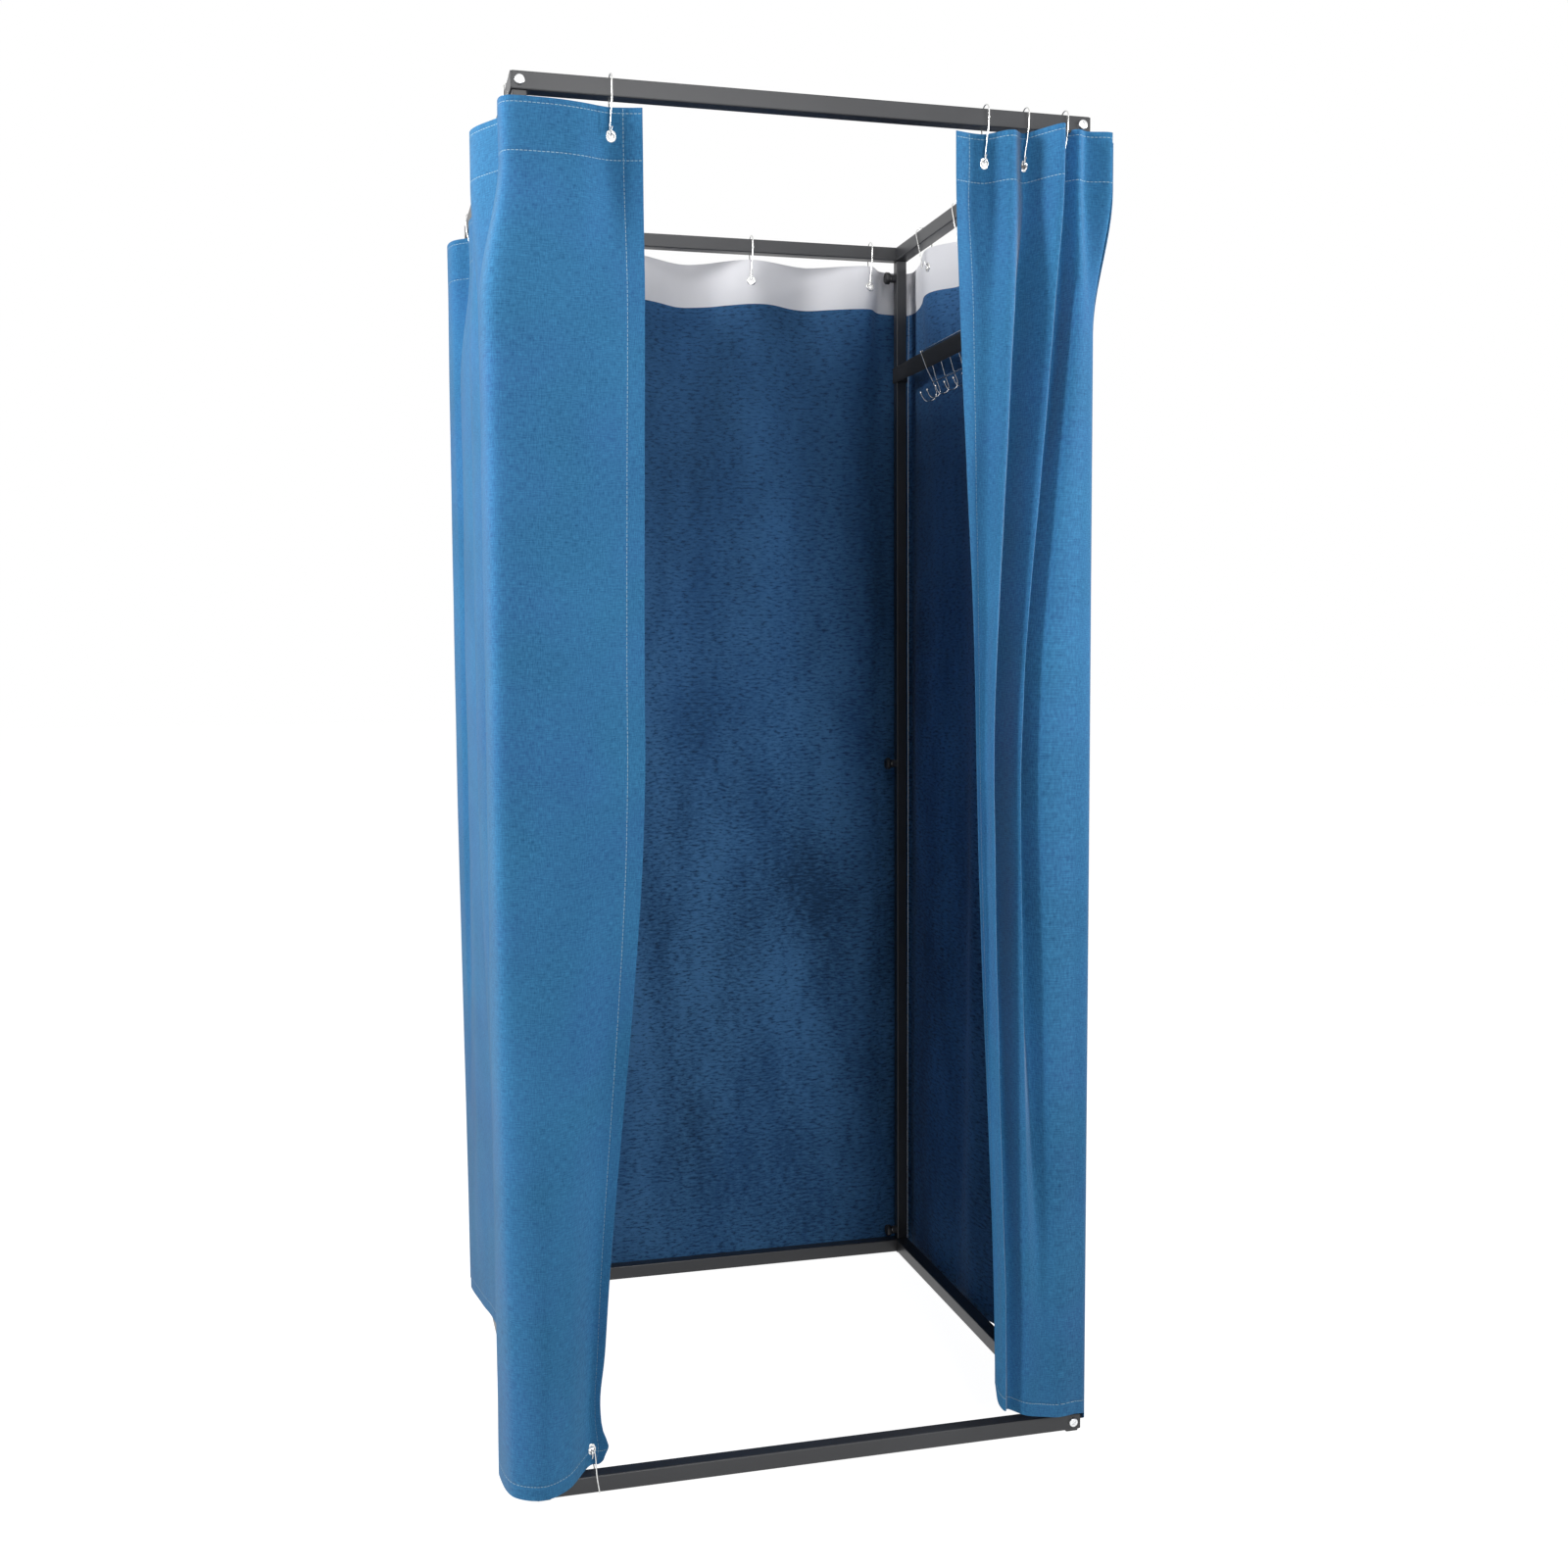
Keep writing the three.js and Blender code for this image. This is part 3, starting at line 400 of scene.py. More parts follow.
def wire(path: Sequence[Vector], radius: float, sides: int = 10, dome: float = 0.35, tip: float = 0.72) -> Form:
    """Makes round wire along a path, with domed ends.

    Args:
        path: The points of the path.
        radius: The wire's radius.
        sides: How many flat sides it has.
        dome: How far its ends are domed, as a share of its radius.
        tip: The size of the dome's flat, as a share of its radius.

    Returns:
        The wire's form.
    """
    ups: list[Vector] = []
    for k in range(len(path)):
        way = way_at(path, k)
        guide = ups[-1] if ups else (Vector((0, 1, 0)) if abs(way.y) < 0.9 else Vector((1, 0, 0)))
        ups.append((guide - way * guide.dot(way)).normalized())
    first = (path[1] - path[0]).normalized() * radius * dome
    last = (path[-1] - path[-2]).normalized() * radius * dome
    line = [path[0] - first, *path, path[-1] + last]
    ups = [ups[0], *ups, ups[-1]]

    def section(k: int) -> list[tuple[float, float]]:
        size = radius * (tip if k in (0, len(line) - 1) else 1.0)
        return [
            (size * math.cos(2 * math.pi * i / sides), size * math.sin(2 * math.pi * i / sides))
            for i in range(sides)
        ]

    return sweep(line, section, lambda k: ups[k])


def rounded_line(points: Sequence[Vector], steps: int) -> list[Vector]:
    """Draws a smooth line through points.

    Args:
        points: The points.
        steps: How many steps there are between two points.

    Returns:
        The points of the smooth line.
    """
    grid = np.array([[list(p) for p in points]])
    places = np.linspace(0, len(points) - 1, (len(points) - 1) * steps + 1)
    return [Vector(p) for p in through(grid, places)[0]]


def through(lines: np.ndarray, places: np.ndarray) -> np.ndarray:
    """Reads centripetal curves at places along them.

    Args:
        lines: The curves' points, as (curve, point, coordinate).
        places: Places along them, counted in points.

    Returns:
        The curves' points at the places, as (curve, place, coordinate).
    """
    first = 2 * lines[:, :1] - lines[:, 1:2]
    last = 2 * lines[:, -1:] - lines[:, -2:-1]
    padded = np.concatenate([first, lines, last], axis=1)
    index = np.clip(np.floor(places).astype(int), 0, lines.shape[1] - 2)
    share = (places - index)[None, :, None]
    p0, p1, p2, p3 = (padded[:, index + k] for k in range(4))

    def gap(a: np.ndarray, b: np.ndarray) -> np.ndarray:
        return (((a - b) ** 2).sum(-1, keepdims=True)) ** 0.25

    d1 = gap(p1, p2)
    d1 = np.where(d1 < 1e-4, 1.0, d1)
    d0, d2 = gap(p0, p1), gap(p2, p3)
    d0 = np.where(d0 < 1e-4, d1, d0)
    d2 = np.where(d2 < 1e-4, d1, d2)
    t1 = ((p1 - p0) / d0 - (p2 - p0) / (d0 + d1) + (p2 - p1) / d1) * d1
    t2 = ((p2 - p1) / d1 - (p3 - p1) / (d1 + d2) + (p3 - p2) / d2) * d1
    c2 = -3 * p1 + 3 * p2 - 2 * t1 - t2
    c3 = 2 * p1 - 2 * p2 + t1 + t2
    return p1 + t1 * share + c2 * share**2 + c3 * share**3


def settle(value: Any, low: float, high: float) -> Any:
    """Eases from nought at low to one at high."""
    share = np.clip((value - low) / (high - low), 0, 1)
    return share * share * (3 - 2 * share)


# ---- Finishes ----


@dataclass(frozen=True)
class PowderCoatedSteel:
    """Square steel tube, powder-coated satin black: a faint orange peel under thin grey dust."""

    coat: str = "#2b2c2f"
    dust: str = "#3c3d40"
    roughness: float = 0.42
    peel_mm: float = 2.2
    peel_depth_mm: float = 0.12
    dust_mm: float = 160.0

    def build(self) -> Material:
        """Makes the material."""
        paint = Paint("powder_coated_steel")
        where = paint.on_object()
        dust = paint.noise(where, self.dust_mm, 6.0, 0.6)
        veil = paint.remap(dust, (0.45, 0.8), (0.0, 0.5))
        paint.feed("Base Color", paint.mix(veil, self.coat, self.dust))
        paint.feed("Roughness", paint.remap(dust, target=(self.roughness - 0.06, self.roughness + 0.1)))
        peel = paint.noise(where, self.peel_mm, 2.0)
        paint.feed("Normal", paint.relief(peel, 0.25, self.peel_depth_mm))
        return paint.done({"IOR": 1.5, "Coat Weight": 0.15, "Coat Roughness": 0.3})


@dataclass(frozen=True)
class MouldedNylon:
    """Glass-filled nylon, moulded in a spark-eroded tool: a fine matt grain that rubs shiny."""

    colour: str = "#151516"
    rubbed: str = "#26272a"
    grain_mm: float = 0.6
    grain_depth_mm: float = 0.08
    rub_mm: float = 1000 / 90

    def build(self) -> Material:
        """Makes the material."""
        paint = Paint("moulded_nylon")
        where = paint.on_object()
        grain = paint.noise(where, self.grain_mm, 3.0)
        rub = paint.noise(where, self.rub_mm, 4.0)
        paint.feed("Base Color", paint.mix(rub, self.colour, self.rubbed))
        paint.feed("Roughness", paint.remap(rub, target=(0.42, 0.66)))
        paint.feed("Normal", paint.relief(grain, 0.35, self.grain_depth_mm))
        return paint.done({"IOR": 1.53})


@dataclass(frozen=True)
class PlatedSteel:
    """Drawn steel wire or pressed steel, bright plated: a clear mirror that handling dulls in places."""

    name: str = "nickel_plated_steel"
    colour: str = "#dcdcda"
    worn: str = "#a9a8a4"
    roughness: float = 0.2
    handling_mm: float = 1000 / 120

    def build(self) -> Material:
        """Makes the material."""
        paint = Paint(self.name)
        handling = paint.noise(paint.on_object(), self.handling_mm, 5.0, 0.6)
        wear = paint.remap(handling, (0.52, 0.75), (0.0, 0.6))
        paint.feed("Base Color", paint.mix(wear, self.colour, self.worn))
        paint.feed("Roughness", paint.remap(handling, target=(self.roughness - 0.06, self.roughness + 0.12)))
        return paint.done({"Metallic": 1.0})


@dataclass(frozen=True)
class SlubWeaveCloth:
    """The curtains' face: polyester woven with slub yarns, piece dyed blue, and stitched in pale thread.

    The slubs give short darker and paler streaks both ways. Real ones are about 0.4 mm thick, and they are
    drawn 1.5 mm thick, because finer ones vanish in the picture.
    """

    pale: str = "#3f8abb"
    deep: str = "#19517d"
    violet: str = "#27518c"
    thread: str = "#9ab8c8"
    sheen: str = "#e2e8f0"
    slub_thick_mm: float = 1.5
    slub_long_mm: float = 11.0
    slub_depth_mm: float = 0.35
    cloud_mm: float = 240.0
    bath_mm: float = 160.0
    stitch_mm: float = 6.0
    stitch_gap_share: float = 0.3
    thread_mm: float = 0.9
    furrow_mm: float = 4.0
    furrow_depth_mm: float = 0.7
    top_line_mm: float = 8.0
    header_line_mm: float = 72.0
    lead_line_mm: float = 28.0
    hem_line_mm: float = 20.0
    cloth_length_mm: float = 1942.0

    def slubs(self, paint: Paint, uv: Socket, across_mm: float, down_mm: float) -> Socket:
        """Draws yarn streaks.

        Args:
            paint: The material in the making.
            uv: The cloth's own coordinates, in metres.
            across_mm: A streak's size along the cloth's width.
            down_mm: Its size down the cloth.

        Returns:
            The streaks, from nought to one.
        """
        in_streaks = paint.stretch(uv, (1 / (across_mm * MM), 1 / (down_mm * MM), 1.0))
        return paint.noise(in_streaks, 1 / MM, 3.0, 0.6)

    def seam(
        self, paint: Paint, across: Socket, along: Socket, at_mm: float
    ) -> tuple[Socket, Socket]:
        """Draws a line of stitches.

        Args:
            paint: The material in the making.
            across: The coordinate that the line stands still in, in metres.
            along: The coordinate that it runs in, in metres.
            at_mm: Where it stands.

        Returns:
            The thread's mask, and the mask of the furrow that it pulls into the cloth.
        """
        away = paint.math("ABSOLUTE", paint.math("SUBTRACT", across, at_mm * MM))
        near = paint.math("LESS_THAN", away, self.thread_mm * MM / 2)
        beat = paint.math("FRACT", paint.math("MULTIPLY", along, 1 / (self.stitch_mm * MM)))
        dash = paint.math("GREATER_THAN", beat, self.stitch_gap_share)
        furrow = paint.remap(away, (0.0, self.furrow_mm * MM), (1.0, 0.0), smooth=True)
        return paint.math("MULTIPLY", near, dash), furrow

    def seams(
        self, paint: Paint, u: Socket, v: Socket
    ) -> tuple[Socket, Socket]:
        """Draws every line of stitches, and returns the masks of the threads and their furrows."""
        threads, furrows = self.seam(paint, u, v, self.lead_line_mm)
        for height in (self.top_line_mm, self.header_line_mm, self.cloth_length_mm - self.hem_line_mm):
            thread, furrow = self.seam(paint, v, u, height)
            threads = paint.math("MAXIMUM", threads, thread)
            furrows = paint.math("MAXIMUM", furrows, furrow)
        return threads, furrows

    def build(self) -> Material:
        """Makes the material."""
        paint = Paint("slub_weave_polyester")
        uv, u, v = paint.on_cloth()
        weft = self.slubs(paint, uv, self.slub_long_mm, self.slub_thick_mm)
        warp = self.slubs(paint, uv, self.slub_thick_mm, self.slub_long_mm)
        weave = paint.math("ADD", weft, warp)
        streaks = paint.remap(weave, (0.6, 1.4))
        cloud = paint.math("MULTIPLY_ADD", paint.noise(uv, self.cloud_mm, 4.0), 0.6, -0.3)
        cast = paint.remap(paint.noise(uv, self.bath_mm, 2.0), (0.4, 0.62), (0.0, 0.7))
        shade = paint.mix(cast, self.deep, self.violet)
        dye = paint.mix(paint.math("ADD", streaks, cloud, clamp=True), shade, self.pale)
        threads, furrows = self.seams(paint, u, v)
        paint.feed("Base Color", paint.mix(threads, dye, self.thread))
        yarn = paint.relief(weave, 0.5, self.slub_depth_mm)
        pull = paint.math("SUBTRACT", threads, furrows)
        paint.feed("Normal", paint.relief(pull, 0.6, self.furrow_depth_mm, yarn))
        return paint.done(
            {
                "Roughness": 0.86, "IOR": 1.48, "Specular IOR Level": 0.3,
                "Sheen Weight": 0.42, "Sheen Roughness": 0.4, "Sheen Tint": linear(self.sheen),
            }
        )


@dataclass(frozen=True)
class CoatedLining:
    """The curtains' back: a foam-coated blackout lining in navy, with a satin header tape along its top.

    The navy ground is darkened in tall clouds, which are painted shade of soft vertical folds. The coating is pitted
    with darker specks and bruised into paler patches, most in its lower half, and the tape is a smooth grey-white.
    """

    navy: str = "#35669b"
    painted_fold_shade: str = "#22486f"
    # The next colour is painted shade: the dark of soft vertical folds, laid into the navy in tall clouds.
    bruise: str = "#5c98d0"
    speck: str = "#1b3652"
    tape: str = "#f0f0f4"
    tape_mm: float = 82.0
    tape_wave_mm: float = 4.0
    tape_ripple_mm: float = 1000 / 9
    flake_mm: float = 9.0
    flake_depth_mm: float = 0.5
    patch_mm: float = 130.0
    # The size of the tall clouds of painted fold shade.
    cloud_mm: float = 210.0
    tall_scale: tuple[float, float, float] = (1.0, 0.4, 1.0)
    flat_scale: tuple[float, float, float] = (0.6, 2.1, 1.0)

    def coating(self, paint: Paint, uv: Socket, v: Socket) -> tuple[
        Socket, Socket
    ]:
        """Draws the coating, with painted shade of soft vertical folds in its navy ground, and returns its colour and
        its flakes.
        """
        tall, flat = paint.stretch(uv, self.tall_scale), paint.stretch(uv, self.flat_scale)
        # Tall clouds that darken the navy ground: painted shade of soft vertical folds.
        cloud = paint.noise(tall, self.cloud_mm, 5.0, 0.55)
        patches = paint.noise(tall, self.patch_mm, 5.0, 0.55)
        flakes = paint.noise(flat, self.flake_mm, 5.0, 0.7)
        ragged = paint.math("MULTIPLY_ADD", flakes, 1.3, patches)
        zone = paint.remap(ragged, (0.96, 1.36), (0.0, 0.68))
        low = paint.remap(v, (0.2, 1.2), (0.35, 1.0), smooth=True)
        fold_shaded_navy = paint.mix(paint.remap(cloud, (0.3, 0.7)), self.painted_fold_shade, self.navy)
        bruised = paint.mix(paint.math("MULTIPLY", zone, low), fold_shaded_navy, self.bruise)
        pits = paint.remap(flakes, (0.46, 0.39), (0.0, 0.62))
        return paint.mix(pits, bruised, self.speck), flakes

    def build(self) -> Material:
        """Makes the material."""
        paint = Paint("coated_blackout_lining")
        uv, _, v = paint.on_cloth()
        coat, flakes = self.coating(paint, uv, v)
        ripple = paint.noise(uv, self.tape_ripple_mm, 1.0)
        edge = paint.math(
            "MULTIPLY_ADD", ripple, 2 * self.tape_wave_mm * MM, (self.tape_mm - self.tape_wave_mm) * MM
        )
        on_tape = paint.math("LESS_THAN", v, edge)
        paint.feed("Base Color", paint.mix(on_tape, coat, self.tape))
        paint.feed("Roughness", paint.remap(on_tape, target=(0.85, 0.5)))
        paint.feed("Normal", paint.relief(paint.math("ADD", flakes, on_tape), 0.5, self.flake_depth_mm))
        return paint.done({"IOR": 1.5, "Specular IOR Level": 0.3, "Sheen Weight": 0.04, "Sheen Roughness": 0.5})


@dataclass(frozen=True)
class RibbedWebbing:
    """Woven polypropylene webbing, black: even ribs across its width and a slightly shiny yarn."""

    colour: str = "#0d0e10"
    crown: str = "#141518"
    rib_mm: float = 2.0
    rib_depth_mm: float = 0.4
    yarn_mm: float = 1000 / 900

    def build(self) -> Material:
        """Makes the material."""
        paint = Paint("woven_polypropylene_webbing")
        where = paint.on_object()
        bands = {
            "wave_type": "BANDS", "bands_direction": "Y", "Scale": math.tau / 20 / (self.rib_mm * MM),
            "Distortion": 0.4, "Detail": 2.0,
        }
        ribs = add_node(paint.tree, "TexWave", bands, {"Vector": where}).outputs["Fac"]
        height = paint.math("MULTIPLY_ADD", paint.noise(where, self.yarn_mm, 3.0), 0.4, ribs)
        paint.feed("Base Color", paint.mix(height, self.colour, self.crown))
        paint.feed("Normal", paint.relief(height, 0.7, self.rib_depth_mm))
        return paint.done({"Roughness": 0.7, "IOR": 1.49, "Sheen Weight": 0.05})


@dataclass
class Finishes:
    """Every finish of the fitting room, each made once."""

    tube: Material
    nylon: Material
    steel: Material
    bolt_steel: Material
    cloth: Material
    lining: Material
    webbing: Material

    @classmethod
    def made(cls) -> "Finishes":
        """Makes them all."""
        return cls(
            tube=PowderCoatedSteel().build(),
            nylon=MouldedNylon().build(),
            steel=PlatedSteel().build(),
            bolt_steel=PlatedSteel("zinc_plated_steel", "#e4e5e6", "#c2c3c5", 0.3).build(),
            cloth=SlubWeaveCloth().build(),
            lining=CoatedLining().build(),
            webbing=RibbedWebbing().build(),
        )


# ---- Studio ----


@dataclass(frozen=True)
class SoftBox:
    """A soft box: its name, where it stands, the point that it faces and its size in metres, and its watts."""

    name: str
    place: tuple[float, float, float]
    aim: tuple[float, float, float]
    size: tuple[float, float]
    power: float

    def build(self) -> None:
        """Makes the lamp."""
        data = bpy.data.lights.new(self.name, "AREA")
        data.shape, data.energy = "RECTANGLE", self.power
        data.size, data.size_y = self.size
        lamp = bpy.data.objects.new(self.name, data)
        lamp.location = self.place
        lamp.rotation_euler = (Vector(self.aim) - Vector(self.place)).to_track_quat("-Z", "Y").to_euler()
        bpy.context.scene.collection.objects.link(lamp)


@dataclass
class Studio:
    """The camera, the soft boxes, the white surround and the floor."""

    camera_place: tuple[float, float, float] = (-0.668878, -2.779099, 1.211616)
    camera_turn: tuple[float, float, float] = (85.66687619, 0.3321965, -14.7824799)
    lens: float = 38.697
    sensor: float = 36.0
    clip: tuple[float, float] = (0.05, 200.0)
    surround_level: float = 0.1
    floor_side: float = 60.0
    floor_paint: float = 0.33
    floor_glow: float = 0.97
    soft_boxes: tuple[SoftBox, ...] = (
        SoftBox("key_softbox", (2.0, -1.25, 1.95), (0.1, -0.45, 1.6), (0.5, 0.8), 34.0),
        SoftBox("left_softbox", (-3.0, -0.6, 2.4), (-0.45, -0.3, 1.6), (1.0, 1.3), 120.0),
        SoftBox("front_softbox", (0.05, -3.6, 2.15), (0.0, 0.3, 1.55), (0.8, 0.9), 50.0),
        SoftBox("top_softbox", (-0.1, -1.9, 3.5), (-0.1, 0.35, 1.8), (1.2, 0.8), 10.0),
    )

    def build(self) -> int:
        """Makes the whole studio, and returns the number of its soft boxes."""
        self.camera()
        self.surround()
        self.floor()
        for soft_box in self.soft_boxes:
            soft_box.build()
        bpy.context.scene.view_settings.view_transform = "Standard"
        return len(self.soft_boxes)

    def camera(self) -> None:
        """Makes the camera at the photograph's place."""
        data = bpy.data.cameras.new("camera")
        data.lens, data.sensor_width = self.lens, self.sensor
        data.clip_start, data.clip_end = self.clip
        camera = bpy.data.objects.new("camera", data)
        camera.location = self.camera_place
        camera.rotation_euler = [math.radians(a) for a in self.camera_turn]
        bpy.context.scene.collection.objects.link(camera)
        bpy.context.scene.camera = camera

    def seen(self, nodes: Nodes) -> Socket:
        """Returns one where a surface is seen by the camera, in a reflection or through glass."""
        path = add_node(nodes.tree, "LightPath").outputs
        mirrored = nodes.math("ADD", path["Is Camera Ray"], path["Is Glossy Ray"], clamp=True)
        return nodes.math("ADD", mirrored, path["Is Transmission Ray"], clamp=True)

    def surround(self) -> None:
        """Makes the world: white where it is seen, and a plain soft grey light."""
        world = bpy.data.worlds.new("white_surround")
        nodes = Nodes(world)
        level = nodes.math("MULTIPLY_ADD", self.seen(nodes), 1 - self.surround_level, self.surround_level)
        sky = add_node(nodes.tree, "Background", {"Color": (1, 1, 1, 1)}, {"Strength": level})
        add_node(nodes.tree, "OutputWorld", links={"Surface": sky.outputs[0]})
        bpy.context.scene.world = world

    def floor(self) -> None:
        """Makes the pale floor, which keeps the object's shadow."""
        material = bpy.data.materials.new("pale_studio_floor")
        nodes = Nodes(material)
        paint = add_node(nodes.tree, "BsdfDiffuse", {"Color": (self.floor_paint,) * 3 + (1,)})
        level = nodes.math("MULTIPLY", self.seen(nodes), self.floor_glow)
        glow = add_node(nodes.tree, "Emission", {"Color": (1, 1, 1, 1)}, {"Strength": level})
        both = add_node(nodes.tree, "AddShader", links={0: paint.outputs[0], 1: glow.outputs[0]})
        add_node(nodes.tree, "OutputMaterial", links={"Surface": both.outputs[0]})
        half = self.floor_side / 2 / MM
        corners = [(-half, -half, 0), (half, -half, 0), (half, half, 0), (-half, half, 0)]
        floor = make_mesh("studio_floor", corners, [[0, 1, 2, 3]], [material])


# ---- The frame ----


class Side(Enum):
    """A side of the frame, seen from above. The doorway is at the front."""

    FRONT = "front"
    BACK = "back"
    LEFT = "left"
    RIGHT = "right"


@dataclass
class FrameSizes:
    """Sizes of the tube frame that the other pieces are placed by, in millimetres."""

    width: float = 850.0
    height: float = 2000.0
    foot: float = 3.0
    rail: float = 25.0
    post: float = 20.0
    gap: float = 0.3
    lower_post: float = 946.0

    @property
    def line(self) -> float:
        """How far the rails' middle lines stand from the centre."""
        return (self.width - self.rail) / 2

    @property
    def top(self) -> float:
        """The height of the rails' upper face."""
        return self.foot + self.height

    def beside(self, side: Side, along: float, out: float) -> tuple[float, float]:
        """Gives a point beside a rail.

        Args:
            side: The rail's side of the frame.
            along: The place along the rail.
            out: How far the point stands out of the rail's middle line.

        Returns:
            Its X and Y.
        """
        away = (self.line + out) * (-1 if side in (Side.FRONT, Side.LEFT) else 1)
        return (along, away) if side in (Side.FRONT, Side.BACK) else (away, along)


@dataclass
class TubeFrame:
    """The rails and posts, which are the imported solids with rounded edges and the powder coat."""

    sizes: FrameSizes
    edge_mm: float = 0.5
    edge_segments: int = 2
    sharp_angle: float = 30.0
    weld_mm: float = 0.01

    def dress(self, finishes: Finishes) -> int:
        """Gives the solids their finish.

        Args:
            finishes: The finishes.

        Returns:
            How many solids were dressed.
        """
        names = [n for n in frame["nodes"] if n.endswith(("_rail", "_post"))]
        for name in names:
            node = frame["nodes"][name]
            for slot in node.material_slots:
                slot.material = finishes.tube
            weld = node.modifiers.new("weld", "WELD")
            weld.merge_threshold = self.weld_mm * MM
            bevel = node.modifiers.new("edges", "BEVEL")
            bevel.width, bevel.segments = self.edge_mm * MM, self.edge_segments
            bevel.limit_method, bevel.angle_limit = "ANGLE", math.radians(self.sharp_angle)
            bevel.harden_normals = False
        return len(names)


@dataclass
class ClampKnob:
    """A lobed nylon knob on a steel screw, which locks the posts. Local +X points out of the post."""

    sizes: FrameSizes
    radius: float = 11.5
    thickness: float = 9.0
    lobes: int = 6
    lobe_depth: float = 0.9
    lobed_above: float = 0.8
    start: float = 22.0
    screw_radius: float = 3.0
    screw_tip: float = 8.9
    chamfer: float = 0.4
    sides: int = 72
    bottom_rise: float = 17.0
    middle_rise: float = 23.0
    top_drop: float = 32.0
    turns: Mapping[str, float] = field(
        default_factory=lambda: {"front_left": 90.0, "front_right": 90.0, "back_left": 0.0, "back_right": 180.0}
    )

    def form(self) -> Form:
        """Makes the knob, with its domed face, and the screw."""
        angles = [self.lobes * math.tau * i / self.sides for i in range(self.sides)]
        lobed = [self.radius - self.lobe_depth * (1 - math.cos(a)) / 2 for a in angles]
        even = [self.radius - self.lobe_depth / 2] * self.sides
        top = self.thickness
        profile = [
            (0.0, 0.0), (0.86, 0.0), (0.95, 0.3), (1.0, 1.2), (1.0, top - 1.6), (0.97, top - 0.7), (0.88, top - 0.1),
            (0.6, top), (0.52, top - 0.15), (0.46, top - 0.8), (0.3, top - 0.9), (0.0, top - 0.9),
        ]
        head = Form()
        rings = []
        for scale, height in profile:
            radii = [scale * radius for radius in (lobed if scale > self.lobed_above else even)]
            rings.append(head.ring(circle(radii if scale else [0.0], height), self.sides))
        head.skin(rings)
        whole = head.moved(Matrix.Translation((0, 0, self.start)))
        radius, tip, end = self.screw_radius, self.screw_tip, self.start + self.chamfer
        screw = [(0, tip), (radius - self.chamfer, tip), (radius, tip + self.chamfer), (radius, end), (0, end)]
        whole.add(lathe(screw, 24), 1)
        return whole.moved(Matrix.Rotation(math.radians(90), 4, "Y"))

    def build(self, finishes: Finishes) -> list[Piece]:
        """Makes one knob on each clamp.

        Args:
            finishes: The finishes.

        Returns:
            The knobs.
        """
        sizes = self.sizes
        rail_top = sizes.foot + sizes.rail
        heights = {
            "bottom": rail_top + self.bottom_rise,
            "middle": rail_top + sizes.lower_post + self.middle_rise,
            "top": sizes.top - sizes.rail - self.top_drop,
        }
        knobs = []
        for corner, turn in self.turns.items():
            x = sizes.line * (-1 if corner.endswith("left") else 1)
            y = sizes.line * (-1 if corner.startswith("front") else 1)
            for level, z in heights.items():
                name = f"{corner}_{level}_knob"
                placed = Matrix.Translation((x, y, z)) @ Matrix.Rotation(math.radians(turn), 4, "Z")
                knob = self.form().moved(placed).build(f"{name}_detailed", [finishes.nylon, finishes.bolt_steel])
                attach(knob, frame["nodes"][name]["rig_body"])
                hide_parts(name)
                knobs.append(knob)
        return knobs


@dataclass
class PanBolt:
    """A pan-head bolt with a cross recess, through a rail's face. Local +Z points out of the face."""

    sizes: FrameSizes
    radius: float = 7.0
    height: float = 4.0
    rim_share: float = 0.36
    dome_power: float = 3.2
    recess_width: float = 1.5
    recess_length: float = 7.2
    recess_depth: float = 1.5
    shank_radius: float = 3.0
    shank_tip: float = 2.4
    shank_length: float = 41.0
    sides: int = 64
    rings: int = 20

    def crown(self, radius: float) -> float:
        """Gives the head's height at a radius."""
        share = min(radius / self.radius, 1.0)
        dome = math.sqrt(max(1 - share**self.dome_power, 0))
        return self.sizes.gap + self.height * (self.rim_share + (1 - self.rim_share) * dome)

    def recess(self, x: float, y: float) -> float:
        """Gives the cross recess's depth at a point of the head."""
        half_width, half_length = self.recess_width / 2, self.recess_length / 2
        inside = any(abs(a) < half_width and abs(b) < half_length for a, b in ((x, y), (y, x)))
        return self.recess_depth if inside else 0.0

    def form(self) -> Form:
        """Makes the head with its recess, and its shank."""
        head = Form()
        rings = []
        for k in range(self.rings + 1):
            radius = self.radius * k / self.rings
            height = self.crown(radius)
            ring = circle([radius] * (self.sides if k else 1), height)
            rings.append(head.ring([Vector((p.x, p.y, height - self.recess(p.x, p.y))) for p in ring], self.sides))
        rings.append(head.ring(circle([self.radius] * self.sides, self.sizes.gap), self.sides))
        head.skin(rings, flip=True)
        head.faces.append(list(reversed(rings[-1])))
        head.slots.append(0)
        radius, end = self.shank_radius, self.shank_length
        return head.add(lathe([(0, -end), (self.shank_tip, -end), (radius, 1 - end), (radius, 1.0), (0, 1.0)], 24))

    def build(self, finishes: Finishes) -> list[Piece]:
        """Makes the eight bolts.

        Args:
            finishes: The finishes.

        Returns:
            The bolts.
        """
        sizes = self.sizes
        heights = (("bottom", sizes.foot + sizes.rail / 2), ("top", sizes.top - sizes.rail / 2))
        bolts = []
        for face, side_name in ((-1, "front"), (1, "back")):
            for level, z in heights:
                for end, x in (("left", -sizes.line), ("right", sizes.line)):
                    name = f"{side_name}_{level}_{end}_bolt"
                    uneven = 17.0 * (len(bolts) * 2.3 % 5)
                    placed = (
                        Matrix.Translation((x, face * sizes.width / 2, z))
                        @ Matrix.Rotation(math.radians(-90.0 * face), 4, "X")
                        @ Matrix.Rotation(math.radians(uneven), 4, "Z")
                    )
                    bolt = self.form().moved(placed).build(f"{name}_detailed", [finishes.bolt_steel], smooth_below=50)
                    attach(bolt, frame["nodes"][name]["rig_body"])
                    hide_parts(name)
                    bolts.append(bolt)
        return bolts


